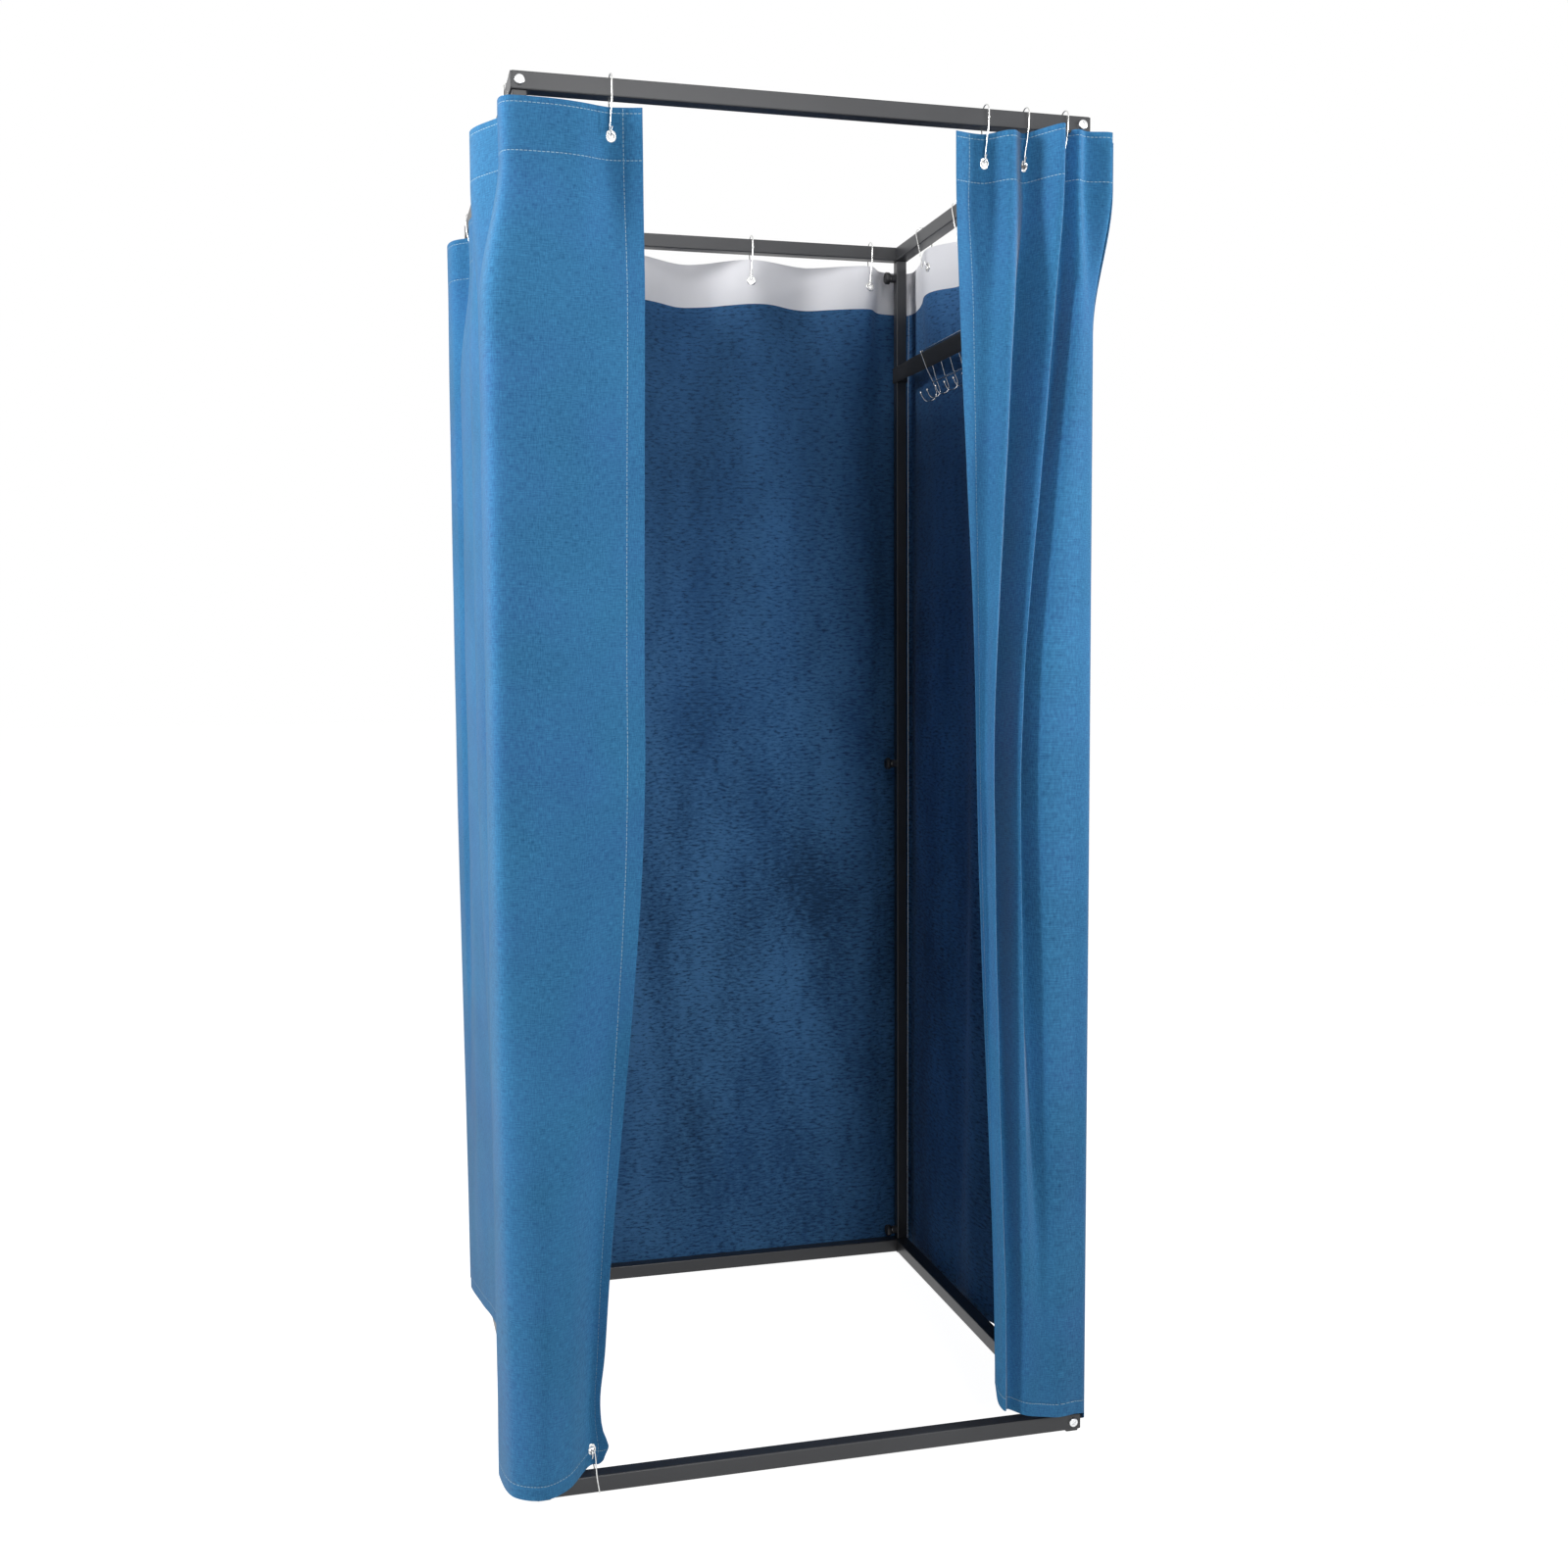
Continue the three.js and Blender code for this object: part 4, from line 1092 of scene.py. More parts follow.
# ---- The curtain hooks ----


@dataclass(frozen=True)
class HookRow:
    """The hooks of one run of rail: their places as shares of half its length, and their leans."""

    side: Side
    names: tuple[str, ...]
    places: tuple[float, ...]
    leans: tuple[float, ...]


HOOK_ROWS: dict[str, HookRow] = {
    "front_left": HookRow(Side.FRONT, ("lead",), (-0.696,), (0.0,)),
    "front_right": HookRow(Side.FRONT, ("lead", "second", "third"), (0.641, 0.793, 0.943), (-0.02, -0.035, -0.04)),
    "back": HookRow(Side.BACK, ("1", "2", "3", "4"), (-0.88, -0.303, 0.274, 0.851), (0.0, 0.0, 0.0, 0.0)),
    "left": HookRow(Side.LEFT, ("1", "2", "3", "4"), (-0.865, -0.288, 0.288, 0.865), (0.0, 0.0, 0.0, 0.0)),
    "right": HookRow(Side.RIGHT, ("1", "2", "3", "4"), (-0.72, -0.257, 0.206, 0.669), (-0.2, -0.2, -0.27, -0.36)),
}


def hook_names(row: str) -> tuple[str, ...]:
    """Gives the names of a row's hooks."""
    return tuple(f"{row}_{name}_hook" for name in HOOK_ROWS[row].names)


@dataclass
class WireHooks:
    """Pear-shaped hooks of bright wire that hang on the rails and carry the curtains by their eyelets."""

    sizes: FrameSizes
    radius: float = 1.0
    drop: float = 75.0
    tie_drop: float = 61.0
    tie_lean: float = 0.15
    bend_radius: float = 3.0
    arch_drop: float = 6.0
    arch_turn: tuple[float, float] = (1.85, 0.15)
    bridge_bow: float = 0.25
    throat: float = 5.0
    curl: float = 8.0
    curl_offset: float = 3.0
    eyelet_hole: float = 4.0

    @staticmethod
    def arc(centre_x: float, centre_z: float, radius: float, start: float, end: float) -> list[Vector]:
        """Gives points of an arc in the XZ plane, between two angles in quarter turns."""
        count = max(2, math.ceil(abs(end - start) * 4))
        angles = [(start + (end - start) * i / count) * math.pi / 2 for i in range(count + 1)]
        return [Vector((centre_x + radius * math.cos(a), 0, centre_z + radius * math.sin(a))) for a in angles]

    def arch(self) -> list[Vector]:
        """Gives the wire's way over a top rail: an arch that rests on the rail's two edges."""
        radius = math.hypot(self.sizes.rail / 2, self.arch_drop) + self.sizes.gap + self.radius
        return self.arc(0, -self.arch_drop, radius, *self.arch_turn)

    def bridge(self) -> list[Vector]:
        """Gives the wire's way under the bottom rail: flat, with a small bend at each edge."""
        bend_x = self.sizes.rail / 2 + self.sizes.gap + self.radius - self.bend_radius
        seat = self.sizes.gap + self.radius
        bend_z = seat - self.bend_radius
        return [
            *self.arc(-bend_x, bend_z, self.bend_radius, 2, 1),
            Vector((0, 0, seat + self.bridge_bow)),
            *self.arc(bend_x, bend_z, self.bend_radius, 1, 0),
        ]

    def line(self, drop: float, over: Sequence[Vector]) -> list[Vector]:
        """Gives a hook's middle line.

        Args:
            drop: How far its eyelet hangs below its seat.
            over: The wire's way across the rail.

        Returns:
            The points of the line.
        """
        rail = self.sizes.rail
        side = rail / 2 + self.sizes.gap + self.radius
        low = -drop + self.eyelet_hole * math.cos(math.pi / 8) - self.radius - 2 * self.sizes.gap
        throat = low + self.throat
        offset = self.curl_offset
        points = [
            Vector((self.throat, offset / 2, throat + self.throat)),
            *self.arc(0, throat, self.throat, 4, 2),
            Vector((-(side + self.throat) / 2, 0, (throat - rail) / 2)),
            Vector((-side, 0, -rail)),
            *over,
            Vector((side, 0, -rail)),
            Vector(((side + 2 * self.throat) / 2, -offset / 2, (throat - rail) / 2)),
            Vector((2 * self.throat, -offset, throat)),
            Vector((2 * self.throat + self.radius, -offset, throat - self.curl)),
        ]
        return rounded_line(points, 4)

    def eyelet(self, row: HookRow, index: int) -> tuple[float, float]:
        """Gives where a hook's eyelet hangs: its place along the rail, and its height."""
        lean = row.leans[index]
        return (
            row.places[index] * self.sizes.line + self.drop * math.sin(lean),
            self.sizes.top - self.drop * math.cos(lean),
        )

    def add(self, name: str, line: list[Vector], placed: Matrix, finishes: Finishes) -> Piece:
        """Makes one hook, riding on its curtain's body."""
        hook = wire(line, self.radius).moved(placed).build(f"{name}_detailed", [finishes.steel], smooth_below=60)
        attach(hook, frame["nodes"][name]["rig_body"])
        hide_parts(name)
        return hook

    def build(self, tie_place: Sequence[float], finishes: Finishes) -> list[Piece]:
        """Makes every hook.

        Args:
            tie_place: X and Y of the eyelet that the bottom hook ties down.
            finishes: The finishes.

        Returns:
            The hooks.
        """
        turns = {Side.FRONT: -90.0, Side.BACK: -90.0, Side.LEFT: 0.0, Side.RIGHT: 180.0}
        line = self.line(self.drop, self.arch())
        hooks = []
        for row_name, row in HOOK_ROWS.items():
            for index, name in enumerate(hook_names(row_name)):
                x, y = self.sizes.beside(row.side, row.places[index] * self.sizes.line, 0)
                lean = -row.leans[index] if row.side is Side.RIGHT else row.leans[index]
                placed = (
                    Matrix.Translation((x, y, self.sizes.top))
                    @ Matrix.Rotation(math.radians(turns[row.side]), 4, "Z")
                    @ Matrix.Rotation(lean, 4, "X")
                )
                hooks.append(self.add(name, line, placed, finishes))
        tie_x = tie_place[0] + self.tie_drop * math.sin(self.tie_lean)
        placed = (
            Matrix.Translation((tie_x, tie_place[1], self.sizes.foot))
            @ Matrix.Rotation(-math.pi / 2, 4, "Z")
            @ Matrix.Rotation(math.pi + self.tie_lean, 4, "X")
        )
        hooks.append(self.add("bottom_tie_hook", self.line(self.tie_drop, self.bridge()), placed, finishes))
        return hooks


# ---- The curtains ----


class Lead(Enum):
    """Which edge of a curtain is its free one, which the hand draws."""

    START = "start"
    END = "end"
    NONE = "none"


@dataclass(frozen=True)
class EyeletPlace:
    """Where an eyelet sits: its body, its station line on the wrap and its height."""

    body: str
    place: float
    height: float


@dataclass(frozen=True)
class Crease:
    """One kind of soft crease: its height, width, length and lean, and what it adds to the curtain's seed."""

    height: float
    width: float
    length: float
    lean: float = 0.0
    shift: float = 0.0


@dataclass(frozen=True)
class CurtainCut:
    """One curtain of the wrap: the lines between which it hangs, its lift, and what it stands for.

    The soft waves of a curtain have a height and a width. Its head rises, and its hem drops, by some millimetres
    at some lines.
    """

    name: str
    start: int
    end: int
    nodes: tuple[str, ...]
    seed: float
    lead: Lead
    eyelets: tuple[EyeletPlace, ...]
    rests_on: tuple[str, ...]
    lift: float = 0.0
    soft: float = 4.0
    soft_width: float = 95.0
    hem_drops: tuple[tuple[float, float], ...] = ()
    head_rises: tuple[tuple[float, float], ...] = ()


LEVEL = ((0.0, 0.0),)  # the rises of a head or a hem that is level all along
NUDGE = 0.01  # a short way along the wrap, in station lines


@dataclass
class CurtainWrap:
    """The form of the curtains: upright lines of cloth, each placed at its top, middle and foot."""

    sizes: FrameSizes
    hooks: WireHooks
    thickness: float = 1.2
    reach: float = 60.0
    corner_reach: float = 40.0
    cloth_top: float = 1967.0
    cloth_foot: float = 25.0
    lead_rise: float = 15.0
    clear: float = 13.55
    post_out: float = 11.05
    fold_settle: tuple[float, float] = (70.0, 280.0)
    draw_settle: tuple[float, float] = (50.0, 970.0)
    foot_settle: float = 1100.0
    left_lead: tuple[float, ...] = (-0.596, -0.615, -0.79)
    left_hook: tuple[float, ...] = (-0.696, -0.72, -0.827)
    left_pleats: tuple[float, ...] = (0.33, 0.66)
    right_lead: float = 0.514
    right_middle: tuple[float, ...] = (0.97, 0.835, 0.771, 0.748, 0.7, 0.64, 0.62, 0.5915)
    right_foot: tuple[float, ...] = (0.982, 0.91, 0.845, 0.785, 0.73, 0.7, 0.686, 0.676)
    right_crests: tuple[float, ...] = (0.62, 0.66, 0.5)
    corners_out: Mapping[str, tuple[tuple[float, float], ...]] = field(
        default_factory=lambda: {
            "front_left": ((0.4, 0.42), (0.83, 0.66), (0.73, 0.63)),
            "back_left": ((0.62, 0.62), (0.65, 0.62), (0.57, 0.55)),
            "back_right": ((0.47, 0.5), (0.45, 0.5), (0.4, 0.44)),
            "front_right": ((0.7, 0.43), (0.26, 0.32), (0.25, 0.32)),
        }
    )
    sides_out: Mapping[str, tuple[tuple[float, ...], ...]] = field(
        default_factory=lambda: {
            "left": (
                (0.4, 0, 0.88, 0, 0.5, 0, 0.32, 0, 0.6),
                (0.95, 0.7, 0.72, 0.4, 0.66, 0.38, 0.66, 0.42, 0.66),
                (0.97, 0.95, 0.65, 0.36, 0.33, 0.26, 0.5, 0.72, 0.62),
            ),
            "back": (
                (0.6, 0, 0.55, 0, 0.97, 0, 0.5, 0, 0.48),
                (0.6, 0.4, 0.62, 0.36, 0.66, 0.38, 0.6, 0.4, 0.5),
                (0.52, 0.4, 0.5, 0.36, 0.52, 0.34, 0.5, 0.38, 0.44),
            ),
            "right": (
                (0.47, 0, 0.58, 0, 0.55, 0, 0.55, 0, 0.66),
                (0.45, 0.42, 0.66, 0.42, 1, 0.6, 0.7, 0.38, 0.27),
                (0.4, 0.36, 0.5, 0.36, 0.7, 0.34, 0.44, 0.32, 0.26),
            ),
            "front_left": ((0.3, 0, 0.37, 0.5), (0.43, 0.53, 0.62, 0.72), (0.12, 0, 0.62, 0.97)),
            "front_right": (
                (0.2, 0.36, 0, 0.88, 0, 0.52, 0, 0.32),
                (0.5, 0.66, 0, 0.62, -0.5, 0.66, 0.4, 0.4),
                (0.5, 0.62, 0.6, 0.62, 0.3, 0.58, 0.4, 0.33),
            ),
        }
    )
    rises: Mapping[str, tuple[float, ...]] = field(
        default_factory=lambda: {
            "front_left": (1, 1, 0.1, 0),
            "left": (0, 0, 0.3, 0.8, 1.2, 1.5, 1.2, 0.7, 0.5),
            "front_right": (0.3, 0.45, 0.7, 1, 1.3, 1.7, 2.2, 2.8),
        }
    )
    grid: np.ndarray = field(init=False)
    corners: tuple[int, int, int, int] = field(init=False)

    def __post_init__(self) -> None:
        """Lays out every line of the wrap."""
        runs = [
            self.front_left_lines(),
            [self.corner_line("front_left", -1, -1)],
            self.side_lines(Side.LEFT, -1, 1),
            [self.corner_line("back_left", -1, 1)],
            self.side_lines(Side.BACK, -1, 1),
            [self.corner_line("back_right", 1, 1)],
            self.side_lines(Side.RIGHT, 1, -1),
            [self.corner_line("front_right", 1, -1)],
            self.front_right_lines(),
        ]
        starts = [sum(len(r) for r in runs[:k]) for k in range(len(runs))]
        self.corners = (starts[1], starts[3], starts[5], starts[7])
        self.grid = np.array([line for run in runs for line in run], float)

    @property
    def length(self) -> float:
        """The cloth's length, from head to hem."""
        return self.cloth_top - self.cloth_foot

    @property
    def last(self) -> int:
        """The number of the last line."""
        return len(self.grid) - 1

    def reach_out(self, share: float, level: int, lifted: bool = False) -> float:
        """Gives how far a line stands out. Its foot hangs clear of the bottom rail, unless it is lifted."""
        out = share * self.reach
        return max(out, self.clear) if level == 2 and not lifted else out

    def line_at(self, side: Side, alongs: Sequence[float], outs: Sequence[float], rise: float) -> list[list[float]]:
        """Places one line of cloth at its top, middle and foot."""
        lifted = side is Side.FRONT and rise > 0
        return [
            [*self.sizes.beside(side, along, self.reach_out(out, level, lifted)), rise * self.lead_rise]
            for level, (along, out) in enumerate(zip(alongs, outs))
        ]

    def corner_line(self, name: str, sign_x: int, sign_y: int) -> list[list[float]]:
        """Places the line of cloth at a corner."""
        return [
            [
                sign_x * (self.sizes.line + self.reach_out(out_x, level)),
                sign_y * (self.sizes.line + self.reach_out(out_y, level)),
                0.0,
            ]
            for level, (out_x, out_y) in enumerate(self.corners_out[name])
        ]

    def side_lines(self, side: Side, start: int, end: int) -> list[list[list[float]]]:
        """Places the lines of a full side, from one corner's neighbour to the other's."""
        row = HOOK_ROWS[side.value]
        outs = self.sides_out[side.value]
        hooks = [self.hooks.eyelet(row, i)[0] for i in range(len(row.places))]
        if start > end:
            hooks.reverse()
        reach = self.sizes.line + self.post_out - self.corner_reach
        alongs = [start * reach]
        for i, hook in enumerate(hooks):
            alongs += [(hooks[i - 1] + hook) / 2, hook] if i else [hook]
        alongs.append(end * reach)
        rises = self.rises.get(side.value, (0.0,) * len(alongs))
        return [self.line_at(side, [along] * 3, [o[i] for o in outs], rises[i]) for i, along in enumerate(alongs)]

    def front_left_lines(self) -> list[list[list[float]]]:
        """Places the lines of the panel left of the doorway, from its lead edge."""
        outs = self.sides_out["front_left"]
        line = self.sizes.line
        lead = [s * line for s in self.left_lead]
        hook = [s * line for s in self.left_hook]
        corner = [-line - self.corners_out["front_left"][level][0] * self.reach for level in range(3)]
        pleats = [[hook[k] + (corner[k] - hook[k]) * share for k in range(3)] for share in self.left_pleats]
        return [
            self.line_at(Side.FRONT, places, [o[i] for o in outs], self.rises["front_left"][i])
            for i, places in enumerate([lead, hook, *pleats])
        ]

    def front_right_lines(self) -> list[list[list[float]]]:
        """Places the lines of the panel right of the doorway, up to its lead edge."""
        row = HOOK_ROWS["front_right"]
        first, second, third = (self.hooks.eyelet(row, i)[0] for i in range(3))
        line = self.sizes.line
        gaps = ((third, line), (second, third), (first, second))
        crests = [a + (b - a) * share for (a, b), share in zip(gaps, self.right_crests)]
        beside = line + self.sizes.post / 4
        tops = [beside, crests[0], third, crests[1], second, crests[2], first, self.right_lead * line]
        outs = self.sides_out["front_right"]
        return [
            self.line_at(
                Side.FRONT,
                [top, self.right_middle[i] * line, self.right_foot[i] * line],
                [o[i] for o in outs],
                self.rises["front_right"][i],
            )
            for i, top in enumerate(tops)
        ]

    def lines(self, heights: np.ndarray) -> np.ndarray:
        """Gives every line of cloth at some heights, as (height, line, coordinate) with the hem's rise as Z."""
        drop = self.cloth_top - heights
        fold = (1 - settle(drop, *self.fold_settle))[:, None]
        draw = (1 - settle(drop, *self.draw_settle))[:, None]
        foot = (1 - settle(heights, 0, self.foot_settle))[:, None]
        top, middle, low = (self.grid[None, :, k] for k in range(3))
        index = np.arange(len(self.grid))
        a, b, c, d = self.corners
        on_front = ((index < a) | (index > d))[None]
        on_side = (((index > a) & (index < b)) | ((index > c) & (index < d)))[None]
        weight_x = np.where(on_front, draw, fold)
        weight_y = np.where(on_side, draw, fold)
        x = middle[..., 0] + (top[..., 0] - middle[..., 0]) * weight_x + (low[..., 0] - middle[..., 0]) * foot
        y = middle[..., 1] + (top[..., 1] - middle[..., 1]) * weight_y + (low[..., 1] - middle[..., 1]) * foot
        return np.stack([x, y, np.broadcast_to(top[..., 2], x.shape)], -1)


@dataclass
class EyeletRing:
    """A pressed metal eyelet with a rolled rim, facing out of the cloth."""

    radius: float = 8.5
    hole: float = 4.0
    thickness: float = 3.4
    sides: int = 32

    def form(self) -> Form:
        """Makes the ring round the Z axis."""
        half, mid = self.thickness / 2, (self.radius + self.hole) / 2
        top = [
            (self.hole, 0.0), (self.hole + 0.1, half * 0.7), (self.hole + 0.6, half), (mid, half * 0.95),
            (self.radius - 0.8, half * 0.8), (self.radius - 0.1, half * 0.55), (self.radius, 0.0),
        ]
        bottom = [(r, -z) for r, z in reversed(top[1:-1])]
        return lathe(top + bottom, self.sides, closed=True)

    def build(
        self, name: str, centre: Sequence[float], facing: Sequence[float], body: str, finishes: Finishes
    ) -> Piece:
        """Makes an eyelet.

        Args:
            name: The piece's name.
            centre: Its middle, in millimetres.
            facing: The way that it faces.
            body: The body that it rides on.
            finishes: The finishes.

        Returns:
            The eyelet.
        """
        turn = Vector(facing).to_track_quat("Z", "Y").to_matrix().to_4x4()
        ring = self.form().moved(Matrix.Translation(centre) @ turn).build(name, [finishes.steel], smooth_below=60)
        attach(ring, body)
        return ring


@dataclass
class Curtains:
    """The curtains as double sheets of cloth and lining, with their eyelets. Lengths are in millimetres."""

    wrap: CurtainWrap
    ring: EyeletRing
    row_step: float = 13.0
    columns_each: int = 12
    fine_step: float = 2.2
    fine_reach: float = 6.6
    fine_bands: tuple[tuple[float, float], ...] = ((1908.0, 1942.0), (12.0, 50.0))
    hole_cut: float = 5.7
    column_gap: float = 0.012
    sag: float = 3.0
    sag_span: tuple[float, float] = (0.1, 1.1)
    sag_fade: float = 260.0
    hem_fade: float = 420.0
    head_fade: float = 320.0
    tie_flare: tuple[float, float, float] = (9.0, 66.0, 20.0)
    tie_waist: tuple[float, float, float] = (5.0, 140.0, 45.0)
    left_corner: tuple[float, float, float] = (9.0, 0.6, 40.0)
    right_corner: tuple[float, float, float] = (23.4, 1.5, 90.0)
    eyelet_calm: tuple[float, float] = (9.0, 60.0)
    foot_calm: tuple[float, float] = (40.0, 260.0)
    foot_waves: float = 0.5
    head_calm: tuple[float, float] = (15.0, 90.0)
    head_waves: float = 0.35
    edge_fade: float = 60.0
    seam_gap: float = 0.35
    free_run: float = 1500.0
    wave_length: float = 800.0
    creases: tuple[Crease, ...] = (
        Crease(height=1.3, width=42.0, length=260.0, shift=9.1),
        Crease(height=0.8, width=60.0, length=120.0, lean=0.35, shift=4.7),
    )

    def shares(self) -> np.ndarray:
        """Gives the rows of the cloth as shares of its length, close together round the eyelets."""
        foot, length = self.wrap.cloth_foot, self.wrap.length
        heights = list(np.arange(0, length, self.row_step)) + [length]
        for low, high in self.fine_bands:
            heights = [h for h in heights if not low - foot - 1 < h < high - foot + 1]
            heights += list(np.arange(low, high, self.fine_step) - foot)
        return np.unique(np.clip(np.array(heights), 0, length)) / length

    def places(self, cut: CurtainCut) -> np.ndarray:
        """Gives the columns of a curtain in station lines, close together round the eyelets.

        Args:
            cut: The curtain. It is trimmed a little at each edge that meets another curtain.

        Returns:
            The columns' places.
        """
        start = cut.start + (0.0 if cut.lead is Lead.START else self.seam_gap / self.speed(cut.start))
        end = cut.end - (0.0 if cut.lead is Lead.END else self.seam_gap / self.speed(cut.end))
        base = np.linspace(start, end, (cut.end - cut.start) * self.columns_each + 1)
        fine: list[float] = []
        for eyelet in cut.eyelets:
            if any(abs(eyelet.place - f) < NUDGE for f in fine):
                continue
            steps = np.arange(-self.fine_reach, self.fine_reach + self.fine_step / 2, self.fine_step)
            fine += list(eyelet.place + steps / self.speed(eyelet.place))
        ends = (base[0], base[-1])
        keep = [p for p in base if all(abs(p - f) > self.column_gap for f in fine) or p in ends]
        return np.unique(np.array(keep + fine))

    def ahead(self, height: float, place: float) -> np.ndarray:
        """Gives the short way from just before a place of the wrap to just after it, in plan."""
        before, after = through(self.wrap.lines(np.array([height])), np.array([place - NUDGE, place + NUDGE]))[0]
        return (after - before)[:2]

    def speed(self, place: float) -> float:
        """Gives how many millimetres of cloth one station line is, at the eyelets' height."""
        height = self.wrap.sizes.top - self.wrap.hooks.drop
        return float(np.linalg.norm(self.ahead(height, place))) / (2 * NUDGE)

    def surface(
        self, cut: CurtainCut, shares: np.ndarray, places: np.ndarray
    ) -> tuple[np.ndarray, np.ndarray, np.ndarray]:
        """Gives the cloth's middle surface.

        Args:
            cut: The curtain.
            shares: The rows, as shares of the length from the foot.
            places: The columns, in station lines.

        Returns:
            The points and the ways outward as (row, column, coordinate), and the flat coordinates in
            millimetres as (row, column, 2).
        """
        wrap = self.wrap
        lines = wrap.lines(wrap.cloth_foot + wrap.length * shares)
        points = through(lines, places)
        ahead = through(lines, places + NUDGE)[..., :2] - through(lines, places - NUDGE)[..., :2]
        ahead /= np.linalg.norm(ahead, axis=-1, keepdims=True)
        out = np.stack([-ahead[..., 1], ahead[..., 0], np.zeros(points.shape[:2])], -1)
        run = np.concatenate([[0], np.cumsum(np.linalg.norm(np.diff(points[-1, :, :2], axis=0), axis=-1))])
        if cut.lead is Lead.NONE:
            run = run + self.free_run
        elif cut.lead is Lead.END:
            run = run[-1] - run
        rise = np.maximum(points[..., 2], 0) * (1 - shares[:, None])
        down = wrap.length * (1 - shares)
        points[..., 2] = wrap.cloth_foot + wrap.length * shares[:, None] + cut.lift + rise
        points += out * self.relief(cut, points, run, down)[..., None]
        self.hang(cut, points, places, down)
        return points, out, np.stack(np.broadcast_arrays(run[None, :], down[:, None]), -1)

    def hang(self, cut: CurtainCut, points: np.ndarray, places: np.ndarray, down: np.ndarray) -> None:
        """Lowers the hem, tilts the head and rounds the lead corner of a curtain, in place.

        Args:
            cut: The curtain.
            points: Its points.
            places: Its columns, in station lines.
            down: Its rows' places down from the head, in millimetres.
        """
        shifts = (
            (-self.sagging(cut, places), down, self.sag_fade),
            (-np.interp(places, *zip(*(cut.hem_drops or LEVEL))), self.wrap.length - down, self.hem_fade),
            (np.interp(places, *zip(*(cut.head_rises or LEVEL))), down, self.head_fade),
        )
        for shift, away, fade in shifts:
            points[..., 2] += shift[None] * (1 - settle(away, 0, fade))[:, None]
        height = points[..., 2] - points[:1, :, 2]
        if cut.lead is Lead.START:
            near = np.clip(1 - places, 0, 1)[None]
            flare, waist = (
                size * np.exp(-(((points[..., 2] - level) / width) ** 2))
                for size, level, width in (self.tie_flare, self.tie_waist)
            )
            points[..., 0] += near * (flare - waist)
            rise, reach, fade = self.left_corner
            rounded = np.clip(1 - places / reach, 0, 1)[None]
            points[..., 2] += rise * rounded**2 * (1 - settle(height, 0, fade))
        elif cut.lead is Lead.END:
            rise, reach, fade = self.right_corner
            rounded = np.clip((places - self.wrap.last + reach) / reach, 0, 1)[None]
            points[..., 2] += rise * rounded**2 * (1 - settle(height, 0, fade))

    def sagging(self, cut: CurtainCut, places: np.ndarray) -> np.ndarray:
        """Gives how far the top edge sags at each column, nought at the eyelets."""
        tops = sorted(e.place for e in cut.eyelets if e.height > self.wrap.length / 2)
        nearest = np.min([np.abs(places - t) for t in tops], axis=0)
        return self.sag * settle(nearest, *self.sag_span)

    def relief(self, cut: CurtainCut, points: np.ndarray, run: np.ndarray, down: np.ndarray) -> np.ndarray:
        """Gives the cloth's small soft creases, in millimetres outward.

        Args:
            cut: The curtain.
            points: Its points.
            run: The columns' places along the flat cloth.
            down: The rows' places down it.

        Returns:
            The relief as (row, column).
        """
        creases = (Crease(cut.soft, cut.soft_width, self.wave_length), *self.creases)
        bulge = np.zeros(points.shape[:2])
        for j, v in enumerate(down):
            for i, u in enumerate(run):
                bulge[j, i] = sum(
                    c.height * noise.noise(Vector(((u + v * c.lean) / c.width, v / c.length, cut.seed + c.shift)))
                    for c in creases
                )
        for eyelet in cut.eyelets:
            near = np.linalg.norm(points - np.array(self.eyelet_point(cut, eyelet)), axis=-1)
            bulge *= settle(near, *self.eyelet_calm)
        free = settle(points[..., 2], *self.foot_calm)
        bulge = bulge * free + np.maximum(bulge, 0) * self.foot_waves * (1 - free)
        bulge = bulge * (self.head_waves + (1 - self.head_waves) * settle(down, *self.head_calm)[:, None])
        edges = settle(run.max() - run, 0, self.edge_fade)
        if cut.lead is Lead.NONE:
            edges = settle(run - run.min(), 0, self.edge_fade) * edges
        return bulge * edges[None]

    def eyelet_line(self, cut: CurtainCut, eyelet: EyeletPlace) -> float:
        """Gives the height at which the smooth wrap, before its lift and rise, passes an eyelet."""
        wrap = self.wrap
        rise = float(through(wrap.lines(np.array([wrap.cloth_foot])), np.array([eyelet.place]))[0, 0, 2])
        share = (eyelet.height - wrap.cloth_foot - cut.lift - rise) / (wrap.length - rise)
        return wrap.cloth_foot + wrap.length * share

    def eyelet_point(self, cut: CurtainCut, eyelet: EyeletPlace) -> tuple[float, float, float]:
        """Gives an eyelet's middle on the smooth wrap."""
        lines = self.wrap.lines(np.array([self.eyelet_line(cut, eyelet)]))
        x, y, _ = through(lines, np.array([eyelet.place]))[0, 0]
        return float(x), float(y), eyelet.height

    def eyelet_facing(self, cut: CurtainCut, eyelet: EyeletPlace) -> tuple[float, float, float]:
        """Gives the way that an eyelet faces."""
        ahead = self.ahead(self.eyelet_line(cut, eyelet), eyelet.place)
        ahead = ahead / np.linalg.norm(ahead)
        return float(-ahead[1]), float(ahead[0]), 0.0

